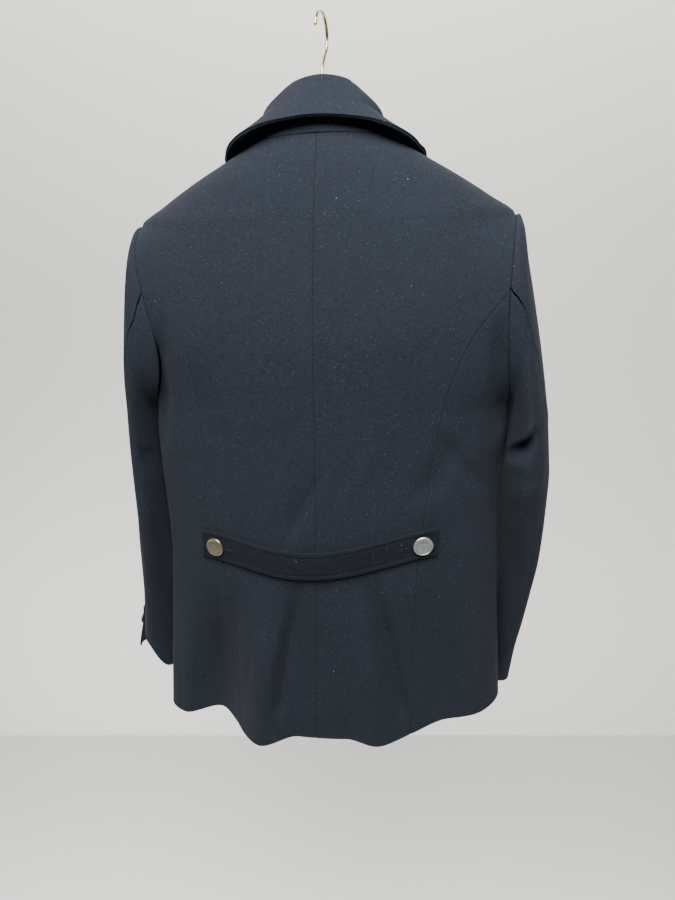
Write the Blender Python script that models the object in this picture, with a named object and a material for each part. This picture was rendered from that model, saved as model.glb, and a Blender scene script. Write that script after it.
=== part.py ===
"""Short double-breasted blazer with a half belt, hanging on its hanger.

Metres, +Z up. The origin is the inside top of the hanger's crook, where a rail
bears on it. The back of the blazer faces +Y, its front -Y, and the wearer's
left is +X. Every cloth piece is a closed wall cut from one body surface or one
sleeve surface between its seams, so neighbours share a seam line.
"""
import math

import bmesh
import bpy
import numpy as np
from mathutils import Matrix, Vector

# Cloth and seams
WALL = 0.0026            # melton wool, one layer
COLLAR_WALL = 0.0046     # collar, two layers
BELT_WALL = 0.0036       # half belt, two layers
LAPEL_WALL = 0.0032      # lapel, cloth and facing pressed together
SEAM_GAP = 0.0004        # between two pieces at a seam
ARM_GAP = 0.0006         # between an armhole and its sleeve
LAY_GAP = 0.0005         # between a panel and what lies on it

# Heights of the body, before the garment's lean
HEM = -0.875
JUNCTION = -0.282        # back seam meets the armhole
TIP = -0.2065            # end of the shoulder
NECK_SIDE = -0.1225
NECK_BACK = -0.1165
LEAN = -0.034            # rise per metre of x: the left side hangs lower

# Armhole oval, in an upright plane
ARM_LOW = -0.420
ARM_HALF_Y = 0.062
ARM_TOP_X = {"left": 0.2205, "right": 0.2165}
ARM_LOW_X = {"left": 0.2190, "right": 0.2290}
ARM_SCOOP = {"left": 0.0216, "right": 0.0090}    # the back edge is cut in by this much
ARM_SKEW = {"left": 0.89, "right": 0.0}          # and lower down by this share more
HEM_RISE = 0.010         # lift of the hem at the right side
HEM_DROP = 0.003         # drop of the hem at the left side
RISE_FROM, RISE_WIDE = 0.170, 0.080              # where the lift starts, and over what width
DROP_FROM, DROP_WIDE = 0.180, 0.030
HEM_ZONE, HEM_FADE = -0.780, 0.095               # the lift and drop fade in below this height

UNDER_STEP = 0.0034      # the under front lies this far inside the upper one
STEP_X, STEP_WIDE = -0.108, 0.034                # the step starts here and grows over this width
STEP_Z, STEP_TALL = -0.262, 0.035
NECK_DROP, DROP_Z = 0.0075, -0.250               # the fronts' columns slope down to the neck from here
PUFF = 0.0030            # a lapel stands off this much more in its middle

# Hanger and buttons
WIRE = 0.0033
CROOK_RADIUS = 0.0216
HOOK_BEND = -0.060       # the straight stem ends here
HOOK_TURN = (0.13, 0.9915)   # direction of the hook's plane, mostly front to back
HANGER_TOP = -0.1195
HOOK_FOOT = HANGER_TOP - WALL - LAY_GAP + 0.0003   # the stem stands on the wood, 0.3 mm off
HANGER_SHORT = 0.019     # each arm ends this far inside the shoulder's end
HANGER_TALL, HANGER_THIN, HANGER_DEEP = 0.0105, 0.0080, 0.0085   # half sizes of an arm
HANGER_TAPER = 0.165     # the arms are thinner beyond this
BUTTON = 0.0250
CUFF_BUTTON = 0.0150
BUTTON_GAP = 0.0004      # between a button's shank and the cloth
FRONT_BUTTONS = (-0.472, -0.572, -0.672)
FRONT_BUTTON_X = 0.045
CUFF_BUTTON_ROW, CUFF_BUTTON_SHARE = 13.9, 0.955

# Half belt
BELT_HALF = 0.1505
BELT_SHIFT = 0.0015      # the belt sits a little to the left
BELT_TALL = 0.038
BELT_Z = -0.591
BELT_SAG = 0.0226
BELT_SLOPE = -0.044
BELT_LOW_X = 0.010
BELT_BUTTON_X = 0.131
BELT_OFF = 0.0022        # the belt's middle stands off the back by this much


def table(columns, rows):
    """A table as a dictionary of named columns."""
    values = np.array(rows, dtype=float)
    return {name: values[:, i] for i, name in enumerate(columns.split())}


def along(tab, key, name, at):
    """Smooth, monotone reading of one column at any value of the key column."""
    xs, ys = tab[key], tab[name]
    if xs[0] > xs[-1]:
        xs, ys = xs[::-1], ys[::-1]
    h = np.diff(xs)
    d = np.diff(ys) / h
    slope = np.zeros(len(xs))
    for i in range(1, len(xs) - 1):
        if d[i - 1] * d[i] > 0:
            w1, w2 = 2 * h[i] + h[i - 1], h[i] + 2 * h[i - 1]
            slope[i] = (w1 + w2) / (w1 / d[i - 1] + w2 / d[i])
    slope[0], slope[-1] = d[0], d[-1]
    at = np.clip(np.asarray(at, dtype=float), xs[0], xs[-1])
    i = np.clip(np.searchsorted(xs, at) - 1, 0, len(xs) - 2)
    t = (at - xs[i]) / h[i]
    return (ys[i] * (1 + 2 * t) * (1 - t) ** 2 + ys[i + 1] * t * t * (3 - 2 * t)
            + h[i] * (slope[i] * t * (1 - t) ** 2 + slope[i + 1] * t * t * (t - 1)))


# Level rings of the body: half widths on the wearer's left and right, depth of the
# widest point on each side, centre back and centre front, and how round the ring is.
BODY = table("z left right side_l side_r back front round", [
    (-0.875, 0.2275, 0.2510, 0.026, -0.022, 0.0875, -0.0900, 1.85),
    (-0.800, 0.2240, 0.2450, 0.018, -0.018, 0.0830, -0.0890, 1.90),
    (-0.700, 0.2185, 0.2350, 0.008, -0.013, 0.0775, -0.0870, 1.95),
    (-0.620, 0.2150, 0.2285, 0.000, -0.010, 0.0745, -0.0850, 2.05),
    (-0.560, 0.2175, 0.2220, -0.004, -0.010, 0.0730, -0.0850, 2.10),
    (-0.510, 0.2203, 0.2215, -0.006, -0.010, 0.0728, -0.0860, 2.10),
    (-0.455, 0.2222, 0.2285, -0.009, -0.010, 0.0735, -0.0875, 2.15),
    (-0.420, 0.2190, 0.2290, -0.010, -0.010, 0.0745, -0.0880, 2.20),
    (-0.350, 0.2190, 0.2250, -0.010, -0.010, 0.0755, -0.0880, 2.20),
    (-0.280, 0.2180, 0.2180, -0.010, -0.010, 0.0715, -0.0830, 2.15),
    (-0.2065, 0.2205, 0.2165, -0.010, -0.010, 0.0620, -0.0700, 2.05),
    (-0.185, 0.1910, 0.1870, -0.010, -0.010, 0.0580, -0.0640, 2.00),
    (-0.163, 0.1555, 0.1515, -0.009, -0.009, 0.0530, -0.0560, 2.00),
    (-0.141, 0.1145, 0.1125, -0.008, -0.008, 0.0465, -0.0440, 2.00),
    (-0.1225, 0.0800, 0.0800, -0.006, -0.006, 0.0385, -0.0300, 2.00),
    (-0.1100, 0.0620, 0.0620, -0.006, -0.006, 0.0330, -0.0240, 2.00),
])

# Distance of the curved back seams from the middle, from the hem to the armhole
PRINCESS_TURN = -0.32
PRINCESS = table("z left right", [
    (-0.875, 0.1100, 0.1275), (-0.815, 0.1095, 0.1258), (-0.740, 0.1125, 0.1260),
    (-0.680, 0.1166, 0.1260), (-0.640, 0.1215, 0.1262), (-0.600, 0.1270, 0.1275),
    (-0.550, 0.1340, 0.1325), (-0.497, 0.1390, 0.1368), (-0.455, 0.1425, 0.1420),
    (-0.400, 0.1460, 0.1510), (-0.362, 0.1505, 0.1625), (-0.338, 0.1570, 0.1725),
    (-0.320, 0.1670, 0.1830), (-0.300, 0.1835, 0.1975), (-0.282, 0.2020, 0.2110),
])

FOLD_RISE, FOLD_FOOT = 0.6, 0.030    # share of a fold's height, and length at its foot, of its fading

# Soft folds of the body: x at the foot and at the head, heights of both ends,
# half width, and how far it stands out (a hollow is negative). Back folds only.
FOLDS = table("x_low x_high z_low z_high half out", [
    (0.073, 0.068, -0.905, -0.630, 0.048, 0.0260),
    (0.150, 0.136, -0.905, -0.640, 0.050, -0.0320),
    (-0.088, -0.058, -0.905, -0.640, 0.044, 0.0160),
    (-0.176, -0.140, -0.905, -0.640, 0.058, -0.0190),
    (0.046, 0.025, -0.850, -0.610, 0.019, -0.0045),
    (-0.115, -0.072, -0.860, -0.605, 0.020, -0.0050),
    (0.004, 0.004, -0.840, -0.630, 0.024, -0.0030),
    (0.036, 0.004, -0.585, -0.480, 0.020, -0.0035),
    (-0.125, -0.175, -0.540, -0.430, 0.030, -0.0045),
    (0.120, 0.150, -0.470, -0.350, 0.030, -0.0030),
])

# Rings of a sleeve from the armhole to the cuff. The upper end of a ring turns from
# the shoulder to the outer side, the lower end from the underarm to the inner side.
SLEEVE_COLUMNS = "row out_x out_z in_x in_z mid_y half_y twist seam"
SLEEVE_RIGHT = table(SLEEVE_COLUMNS, [
    (0, 0.2165, -0.2065, 0.2290, -0.4200, -0.010, 0.0620, 0, 72),
    (1, 0.2208, -0.2058, 0.2299, -0.4220, -0.010, 0.0640, 0, 76),
    (2, 0.2262, -0.2160, 0.2303, -0.4250, -0.011, 0.0655, 0, 77),
    (3, 0.2330, -0.2470, 0.2305, -0.4290, -0.012, 0.0670, 0, 72),
    (4, 0.2435, -0.2890, 0.2305, -0.4350, -0.014, 0.0680, 0, 65),
    (5, 0.2555, -0.3400, 0.2305, -0.4450, -0.016, 0.0690, 0, 53),
    (6, 0.2670, -0.3945, 0.2297, -0.4600, -0.018, 0.0700, 0, 44),
    (7, 0.2755, -0.4400, 0.2266, -0.4800, -0.021, 0.0700, 0, 37),
    (8, 0.2815, -0.4830, 0.2238, -0.5050, -0.026, 0.0695, 2, 34),
    (9, 0.2865, -0.5300, 0.2232, -0.5400, -0.034, 0.0685, 4, 31),
    (10, 0.2872, -0.5850, 0.2245, -0.5880, -0.046, 0.0670, 8, 27),
    (11, 0.2850, -0.6400, 0.2262, -0.6410, -0.058, 0.0650, 13, 23),
    (12, 0.2770, -0.7020, 0.2230, -0.7020, -0.070, 0.0620, 19, 19),
    (13, 0.2700, -0.7550, 0.2185, -0.7550, -0.080, 0.0600, 24, 16),
    (14, 0.2615, -0.8080, 0.2130, -0.8080, -0.088, 0.0580, 29, 15),
    (15, 0.2560, -0.8630, 0.2080, -0.8630, -0.092, 0.0570, 32, 15),
])
SLEEVE_LEFT = table(SLEEVE_COLUMNS, [
    (0, 0.2205, -0.2065, 0.2190, -0.420, -0.010, 0.0620, 0, 70),
    (1, 0.2243, -0.2068, 0.2208, -0.422, -0.010, 0.0640, 0, 77),
    (2, 0.2284, -0.2150, 0.2220, -0.425, -0.011, 0.0655, 0, 87),
    (3, 0.2328, -0.2420, 0.2232, -0.429, -0.013, 0.0665, 0, 89),
    (4, 0.2400, -0.2870, 0.2242, -0.434, -0.016, 0.0670, 0, 82),
    (5, 0.2475, -0.3400, 0.2250, -0.444, -0.019, 0.0675, 0, 66),
    (6, 0.2515, -0.3945, 0.2252, -0.458, -0.022, 0.0680, 0, 50),
    (7, 0.2555, -0.4400, 0.2250, -0.478, -0.025, 0.0680, 0, 38),
    (8, 0.2588, -0.4830, 0.2242, -0.502, -0.028, 0.0680, 0, 30),
    (9, 0.2620, -0.5300, 0.2228, -0.538, -0.032, 0.0685, 0, 25),
    (10, 0.2658, -0.5850, 0.2210, -0.588, -0.037, 0.0685, 0, 23),
    (11, 0.2715, -0.6400, 0.2215, -0.641, -0.043, 0.0670, 0, 22),
    (12, 0.2750, -0.6980, 0.2240, -0.700, -0.049, 0.0640, 2, 20),
    (13, 0.2805, -0.7430, 0.2275, -0.751, -0.053, 0.0610, 3, 18),
    (14, 0.2862, -0.7860, 0.2300, -0.803, -0.056, 0.0590, 4, 16),
    (15, 0.2900, -0.8310, 0.2300, -0.853, -0.058, 0.0580, 4, 16),
])
SLEEVES = {"left": SLEEVE_LEFT, "right": SLEEVE_RIGHT}
SLEEVE_ROWS = 15
SCOOP_ROWS = 3.0         # the scoop of the armhole fades over these rings
PLANE_ROWS = 1.5         # the wall's edge turns into the armhole's plane over these rings
FRONT_SEAM = -104.0      # sleeve's front seam, degrees from its outer line
VENT_ROW = 13.0          # the cuff's slit starts here
VENT_LAP = 11.0          # degrees that the upper sleeve laps over the under sleeve
VENT_FLARE = {"left": 0.0085, "right": 0.0026}   # the lap stands off this much more at the cuff
FLARE_FROM = {"left": 13.6, "right": 13.0}
FLARE_ROWS = 1.6
LAP_CLEAR = {"left": 0.0018, "right": 0.0004}    # between the lap and the under sleeve
CUFF_CUT = {"left": 0.72, "right": 0.0}          # the under sleeve ends this many rings higher
CUT_FROM, CUT_SPAN, CUT_ROWS = 54.0, 60.0, 1.9   # by the slit, fading from and over these degrees
LAP_ROWS = 0.25          # the lap rises off the under sleeve over these rings
LAP_FROM, LAP_WIDE = 0.78, 0.17                  # shares of the upper sleeve's width
SEAM_TRIM, SLANT_TRIM, SLANT_ROWS = 0.26, 0.34, 6

# Folds of the sleeves: side, ring, angle, half length in rings, half width in degrees,
# degrees turned per ring, and how far it stands out
SLEEVE_FOLDS = {
    "right": table("row angle half_row half_angle turn out", [
        (7.05, 114, 0.66, 50, 20, -0.0160),
        (8.60, 96, 0.90, 44, 20, 0.0050),
        (11.6, 120, 1.70, 30, 6, -0.0050),
    ]),
    "left": table("row angle half_row half_angle turn out", [
        (7.80, 125, 1.00, 46, 12, -0.0080),
        (9.60, 104, 1.20, 36, 10, 0.0040),
        (12.0, 118, 1.60, 30, 5, -0.0040),
    ]),
}


def smooth(t):
    """Smooth step from 0 to 1."""
    t = np.clip(t, 0.0, 1.0)
    return t * t * (3 - 2 * t)


def bump(t):
    """A soft hump: 1 in the middle, 0 beyond 1."""
    return smooth(1 - np.abs(t))


def arm_scoop(side, height):
    """How far the armhole's back edge is cut in; height is 1 at its top and -1 at its foot."""
    return ARM_SCOOP[side] * (1 - height ** 2) * (1 - ARM_SKEW[side] * height)


def armhole_x(z, left, back=False):
    """Distance of the armhole's edge from the middle, at a height."""
    share = np.clip((z - ARM_LOW) / (TIP - ARM_LOW), 0, 1)
    edge = {}
    for side, low in ARM_LOW_X.items():
        plane = low + (ARM_TOP_X[side] - low) * share
        edge[side] = plane - np.where(back, arm_scoop(side, 2 * share - 1), 0)
    return np.where(left, edge["left"], edge["right"])


def armhole_reach(z):
    """Half width of the armhole oval at a height, 0 above and below it."""
    mid, half = (TIP + ARM_LOW) / 2, (TIP - ARM_LOW) / 2
    return ARM_HALF_Y * np.sqrt(np.clip(1 - ((z - mid) / half) ** 2, 0, 1))


def armhole_z(reach, lower=True):
    """Height of the oval's lower or upper branch where it is this far from its middle."""
    mid, half = (TIP + ARM_LOW) / 2, (TIP - ARM_LOW) / 2
    rise = half * math.sqrt(max(0.0, 1 - (reach / ARM_HALF_Y) ** 2))
    return mid - rise if lower else mid + rise


def ring(z, left, back):
    """Half width, side depth, reach to the back or front, and roundness of a level ring.

    Between the shoulder's end and the underarm the ring is widened so that it runs
    through the armhole oval.
    """
    power = along(BODY, "z", "round", z)
    side = np.where(left, along(BODY, "z", "side_l", z), along(BODY, "z", "side_r", z))
    wide = np.where(left, along(BODY, "z", "left", z), along(BODY, "z", "right", z))
    deep = np.where(back, along(BODY, "z", "back", z) - side, side - along(BODY, "z", "front", z))
    share = np.clip(armhole_reach(z) / deep, 0, 0.95)
    opened = armhole_x(z, left, back) / (1 - share ** power) ** (1 / power)
    inside = (z > ARM_LOW) & (z < TIP)
    return np.where(inside, opened, wide), side, deep, power


def fold_out(x, z):
    """How far the folds of the back stand out at a place."""
    total = np.zeros(np.broadcast(x, z).shape)
    for i in range(len(FOLDS["half"])):
        low, high = FOLDS["z_low"][i], FOLDS["z_high"][i]
        t = np.clip((z - low) / (high - low), 0, 1)
        middle = FOLDS["x_low"][i] + (FOLDS["x_high"][i] - FOLDS["x_low"][i]) * t
        fade = smooth((high - z) / (FOLD_RISE * (high - low))) * smooth((z - low) / FOLD_FOOT)
        total += FOLDS["out"][i] * bump((x - middle) / FOLDS["half"][i]) * fade
    return total


def body_plain(phi, z):
    """Point of the body at an angle from the centre back (90 degrees is the left side)."""
    phi, z = np.broadcast_arrays(np.asarray(phi, float), np.asarray(z, float))
    phi = (phi + math.pi) % (2 * math.pi) - math.pi
    back = np.cos(phi) >= 0
    wide, side, deep, power = ring(z, phi >= 0, back)
    x = np.sign(phi) * wide * np.abs(np.sin(phi)) ** (2 / power)
    reach = np.abs(np.cos(phi)) ** (2 / power)
    y = side + np.where(back, 1, -1) * deep * reach
    y = y + np.where(back, fold_out(x, z) * smooth(reach * 2.5), 0)
    rise = HEM_RISE * smooth((-x - RISE_FROM) / RISE_WIDE) - HEM_DROP * smooth((x - DROP_FROM) / DROP_WIDE)
    return np.stack([x, y, z + LEAN * x + rise * smooth((HEM_ZONE - z) / HEM_FADE)], axis=-1)


def body(phi, z, out=0.0):
    """Body point moved out along the surface normal."""
    step_a, step_z = 0.01, 0.003
    a = body_plain(phi + step_a, z) - body_plain(phi - step_a, z)
    b = body_plain(phi, z + step_z) - body_plain(phi, z - step_z)
    normal = np.cross(b, a)
    normal /= np.linalg.norm(normal, axis=-1, keepdims=True)
    return body_plain(phi, z) + normal * np.asarray(out)[..., None]


def angle_of(x, z, back=True):
    """Angle of the body point that has this x at this height."""
    x, z = np.broadcast_arrays(np.asarray(x, float), np.asarray(z, float))
    wide, _, _, power = ring(z, x >= 0, np.full(z.shape, back))
    a = np.arcsin(np.clip(np.abs(x) / wide, 0, 1) ** (power / 2))
    return np.sign(x) * (a if back else math.pi - a)


def sleeve_plain(side, angle, row):
    """Point of a sleeve: angle in degrees from its outer line towards the back."""
    tab, sign = SLEEVES[side], (1 if side == "left" else -1)
    angle, row = np.broadcast_arrays(np.asarray(angle, float), np.asarray(row, float))
    get = {name: along(tab, "row", name, row) for name in tab if name != "row"}
    out = np.stack([get["out_x"], 0 * row, get["out_z"]], axis=-1)
    low = np.stack([get["in_x"], 0 * row, get["in_z"]], axis=-1)
    centre, arm = (out + low) / 2, (out - low) / 2
    centre[..., 1] = get["mid_y"]
    a = np.radians(angle)
    swell = np.zeros(row.shape)
    folds = SLEEVE_FOLDS[side]
    for i in range(len(folds["row"])):
        dr = row - folds["row"][i]
        da = (angle - folds["angle"][i] - folds["turn"][i] * dr + 180) % 360 - 180
        swell += folds["out"][i] * bump(dr / folds["half_row"][i]) * bump(da / folds["half_angle"][i])
    short = np.linalg.norm(arm, axis=-1, keepdims=True)
    one = arm / short
    t = np.radians(get["twist"])[..., None]
    two = np.array([0.0, 1.0, 0.0])
    e1 = one * np.cos(t) - two * np.sin(t)
    e2 = one * np.sin(t) + two * np.cos(t)
    cos, sin = np.cos(a)[..., None], np.sin(a)[..., None]
    point = centre + e1 * cos * short + e2 * sin * get["half_y"][..., None]
    point += (e1 * cos + e2 * sin) * swell[..., None]
    scoop = np.where(np.sin(a) > 0, arm_scoop(side, np.cos(a)), 0)
    point[..., 0] -= scoop * (1 - smooth(row / SCOOP_ROWS))
    point[..., 0] *= sign
    point[..., 2] += LEAN * point[..., 0]
    return point


def sleeve(side, angle, row, out=0.0):
    """Sleeve point moved out along the normal; the first ring stays in its plane."""
    da, dr = 1.5, 0.04
    a = sleeve_plain(side, angle + da, row) - sleeve_plain(side, angle - da, row)
    row_up = np.minimum(row + dr, SLEEVE_ROWS)
    b = sleeve_plain(side, angle, np.maximum(row - dr, 0)) - sleeve_plain(side, angle, row_up)
    normal = np.cross(a, b) * (1 if side == "left" else -1)
    normal[..., 0] *= smooth(np.asarray(row) / PLANE_ROWS)
    normal /= np.linalg.norm(normal, axis=-1, keepdims=True)
    middle = sleeve_plain(side, angle, row) - sleeve_plain(side, np.asarray(angle) + 180, row)
    normal *= np.sign(np.sum(normal * middle, axis=-1, keepdims=True))
    return sleeve_plain(side, angle, row) + normal * np.asarray(out)[..., None]


# Rows of a back panel: heights on its side edge, hem to neck
BACK_LEVELS = (-0.875, -0.850, -0.815, -0.775, -0.735, -0.695, -0.655, -0.615, -0.575, -0.535,
               -0.495, -0.455, -0.420, -0.385, -0.350, -0.315, JUNCTION)
ARM_BACK_LEVELS = (-0.254, -0.230, -0.2155, -0.209, TIP)
SHOULDER_LEVELS = (-0.185, -0.163, -0.141, NECK_SIDE)
BACK_COLUMNS, SIDE_COLUMNS, FRONT_COLUMNS, LAPEL_COLUMNS = 10, 7, 9, 5
FRONT_REACH = 0.025      # the front seam meets the armhole this far before its middle
BACK_TURN, FRONT_TURN = 40.0, 70.0    # degrees of the body's curve that a panel's columns span
SPREAD_LOW, SPREAD_HIGH = -0.360, -0.225

# Roll line of a front: x at a height, for the wearer's left front
ROLL = table("z x", [
    (-0.900, -0.065), (-0.470, -0.065), (-0.440, -0.0595), (-0.380, -0.0345), (-0.305, 0.0000),
    (-0.250, 0.0260), (-0.1925, 0.0535), (-0.1500, 0.0690), (-0.1300, 0.0745),
])

# Lapels: share of the way up, height on the roll line, and x and height of the outer edge
LAPEL_LEFT = table("v roll_z edge_x edge_z", [
    (0.00, -0.440, -0.050, -0.447), (0.25, -0.380, 0.020, -0.408), (0.50, -0.318, 0.074, -0.348),
    (0.75, -0.255, 0.114, -0.286), (1.00, -0.1940, 0.142, -0.223),
])
LAPEL_RIGHT = table("v roll_z edge_x edge_z", [
    (0.00, -0.292, 0.0440, -0.382), (0.33, -0.260, 0.088, -0.331), (0.67, -0.227, 0.120, -0.275),
    (1.00, -0.1940, 0.142, -0.223),
])

# Collar: share of the way from the centre back to the front end, then x, y, z of the
# neck edge, the fold and the outer edge
COLLAR = table("u nx ny nz fx fy fz ex ey ez", [
    (0.00, 0.0000, 0.0345, -0.1158, 0.0000, 0.0085, -0.0615, 0.0000, 0.0450, -0.1018),
    (0.20, 0.0340, 0.0300, -0.1170, 0.0265, 0.0030, -0.0664, 0.0460, 0.0410, -0.1055),
    (0.40, 0.0640, 0.0130, -0.1190, 0.0417, -0.0120, -0.0902, 0.0845, 0.0290, -0.1156),
    (0.60, 0.0715, -0.0220, -0.1240, 0.0565, -0.0350, -0.1153, 0.1103, -0.0040, -0.1340),
    (0.80, 0.0620, -0.0470, -0.1490, 0.0648, -0.0570, -0.1461, 0.1161, -0.0420, -0.1690),
    (1.00, 0.0500, -0.0690, -0.1885, 0.0570, -0.0730, -0.1880, 0.1180, -0.0620, -0.1985),
])
COLLAR_ROWS = 26
FOLD_RADIUS = 0.0042
COLLAR_CLEAR = 0.0021
COLLAR_SHIFT = 0.0018    # the collar's fold and fall sit a little to the left
SHIFT_OVER = 0.6         # and comes to that over this share of its length
FALL = (0, 0, 0, 0, 0, 0, 0.3, 0.8, 1, 1, 1)     # how far each column is held off the body
FALL_FROM, FALL_OVER = 0.15, 0.25                # from the back to the sides of the neck

CLOTH = (0.012, 0.014, 0.022)
METALS = {"left": (0.42, 0.36, 0.25), "right": (0.55, 0.56, 0.58)}


def material(name, colour, roughness, metallic=0.0):
    """A Principled material."""
    mat = bpy.data.materials.get(name) or bpy.data.materials.new(name)
    mat.use_nodes = True
    shader = mat.node_tree.nodes["Principled BSDF"]
    shader.inputs["Base Color"].default_value = (*colour, 1)
    shader.inputs["Roughness"].default_value = roughness
    shader.inputs["Metallic"].default_value = metallic
    mat.diffuse_color = (*colour, 1)
    return mat


def cloth():
    return material("navy_melton", CLOTH, 0.92)


def shell(name, outer, inner, mat):
    """Closed wall between two grids of points with the same rows and columns."""
    rows, cols = outer.shape[:2]
    mesh = bpy.data.meshes.new(name)
    points = [tuple(p) for p in outer.reshape(-1, 3)] + [tuple(p) for p in inner.reshape(-1, 3)]
    half = rows * cols
    faces = []
    for j in range(rows - 1):
        for i in range(cols - 1):
            a, b, c, d = j * cols + i, j * cols + i + 1, (j + 1) * cols + i + 1, (j + 1) * cols + i
            faces += [(a, b, c), (a, c, d)]
            faces += [(a + half, c + half, b + half), (a + half, d + half, c + half)]
    rim = [i for i in range(cols)] + [j * cols + cols - 1 for j in range(1, rows)]
    rim += [(rows - 1) * cols + i for i in range(cols - 2, -1, -1)]
    rim += [j * cols for j in range(rows - 2, 0, -1)]
    for a, b in zip(rim, rim[1:] + rim[:1]):
        faces += [(b, a, a + half), (b, a + half, b + half)]
    mesh.from_pydata(points, [], faces)
    return finish(name, mesh, mat)


def finish(name, mesh, mat, sharp=50):
    """Turn faces outwards, shade, and link the object."""
    bm = bmesh.new()
    bm.from_mesh(mesh)
    bmesh.ops.recalc_face_normals(bm, faces=bm.faces)
    bm.to_mesh(mesh)
    bm.free()
    mesh.materials.append(mat)
    mesh.shade_smooth()
    mesh.set_sharp_from_angle(angle=math.radians(sharp))
    obj = bpy.data.objects.new(name, mesh)
    bpy.context.scene.collection.objects.link(obj)
    return obj


def trim(phi, z):
    """Half a seam gap at a body place, as an angle."""
    step = 0.01
    run = np.linalg.norm(body_plain(phi + step, z) - body_plain(phi - step, z), axis=-1)
    return 0.5 * SEAM_GAP * 2 * step / run


def seam_angle(sign, z, front=False):
    """Angle of a back panel's or front panel's side edge, at its own heights."""
    z = np.asarray(z, float)
    shoulder = np.full(z.shape, sign * math.pi / 2)
    arm = angle_of(sign * armhole_x(z, sign > 0, not front), z, not front)
    if front:
        low = np.full(z.shape, front_seam_angle(sign))
        return np.where(z >= TIP, shoulder, np.where(z > armhole_z(FRONT_REACH), arm, low))
    reach = princess_x(sign, z)
    low = angle_of(sign * reach, z)
    return np.where(z >= TIP, shoulder, np.where(z > JUNCTION, arm, low))


def princess_x(sign, z):
    """Distance of the curved seam from the middle; its head meets the scooped armhole."""
    side = "left" if sign > 0 else "right"
    head = armhole_x(np.asarray(JUNCTION), sign > 0, True) - PRINCESS[side][-1]
    turn = smooth((z - PRINCESS_TURN) / (JUNCTION - PRINCESS_TURN))
    return along(PRINCESS, "z", side, z) + head * turn


def front_seam_angle(sign):
    """The seam between side and front keeps the angle that it has at the armhole."""
    z = armhole_z(FRONT_REACH)
    return float(angle_of(sign * armhole_x(z, sign > 0), z, False))


def spread(share, low, z):
    """Where a panel's columns lie across it: even round the body, closer at the shoulder's end."""
    quarter = np.radians(low + (90 - low) * smooth((z - SPREAD_LOW) / (SPREAD_HIGH - SPREAD_LOW)))
    return (np.sin(share * quarter) / np.sin(quarter)) ** (2 / along(BODY, "z", "round", TIP))


def back_panel(side):
    """Half of the back, from the centre seam to the curved seam, armhole and shoulder."""
    sign = 1 if side == "left" else -1
    levels = np.array(BACK_LEVELS + ARM_BACK_LEVELS + SHOULDER_LEVELS)[:, None]
    share = np.linspace(0, 1, BACK_COLUMNS + 1)[None, :]
    lift = smooth((levels - SHOULDER_LEVELS[1]) / (NECK_SIDE - SHOULDER_LEVELS[1]))
    z = levels + lift * (NECK_BACK - NECK_SIDE) * (1 - share ** 2)
    middle = angle_of(sign * SEAM_GAP / 2, z)
    edge = seam_angle(sign, np.broadcast_to(levels, z.shape))
    edge = edge - sign * trim(edge, z)
    edge_x = body_plain(edge, z)[..., 0]
    x = sign * SEAM_GAP / 2 + (edge_x - sign * SEAM_GAP / 2) * spread(share, BACK_TURN, levels)
    by_x = (levels < TIP) & (share > 0) & (share < 1)
    phi = np.where(by_x, angle_of(x, z), middle + (edge - middle) * share)
    top = np.where(levels == NECK_SIDE, SEAM_GAP, 0)
    outer, inner = body(phi, z - top), body(phi, z - top, -WALL)
    return shell("back_" + side, outer, inner, cloth())


def side_panel(side):
    """The panel under the arm, from the curved back seam to the front seam."""
    sign = 1 if side == "left" else -1
    up = ((np.array(BACK_LEVELS) - HEM) / (JUNCTION - HEM))[:, None]
    share = np.linspace(0, 1, SIDE_COLUMNS + 1)[None, :]
    mid, half = (TIP + ARM_LOW) / 2, (TIP - ARM_LOW) / 2
    start = math.acos((JUNCTION - mid) / half)
    end = math.pi + math.asin(FRONT_REACH / ARM_HALF_Y)
    turn = start + (end - start) * share
    top_z = mid + half * np.cos(turn)
    back = angle_of(sign * armhole_x(top_z, sign > 0, True), top_z)
    front = angle_of(sign * armhole_x(top_z, sign > 0), top_z, False)
    top_phi = np.where(turn < math.pi, back, front)
    last = front_seam_angle(sign)
    z = HEM + (top_z - HEM) * up
    first = seam_angle(sign, np.minimum(z, JUNCTION))
    first_top = seam_angle(sign, np.minimum(top_z, JUNCTION))
    share_top = (top_phi - first_top) / (last - first_top)
    mix = share + (share_top - share) * up ** 3
    first = first + sign * trim(first, z)
    phi = first + (last - sign * trim(last, z) - first) * mix
    z = z - np.where(up == 1, SEAM_GAP, 0)
    return shell("side_" + side, body(phi, z), body(phi, z, -WALL), cloth())


def under_step(side, x, z):
    """How far inside the body surface the wearer's right front lies."""
    if side == "left":
        return np.zeros(np.broadcast(x, z).shape)
    return -UNDER_STEP * smooth((x - STEP_X) / STEP_WIDE) * smooth((STEP_Z - z) / STEP_TALL)


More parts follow.
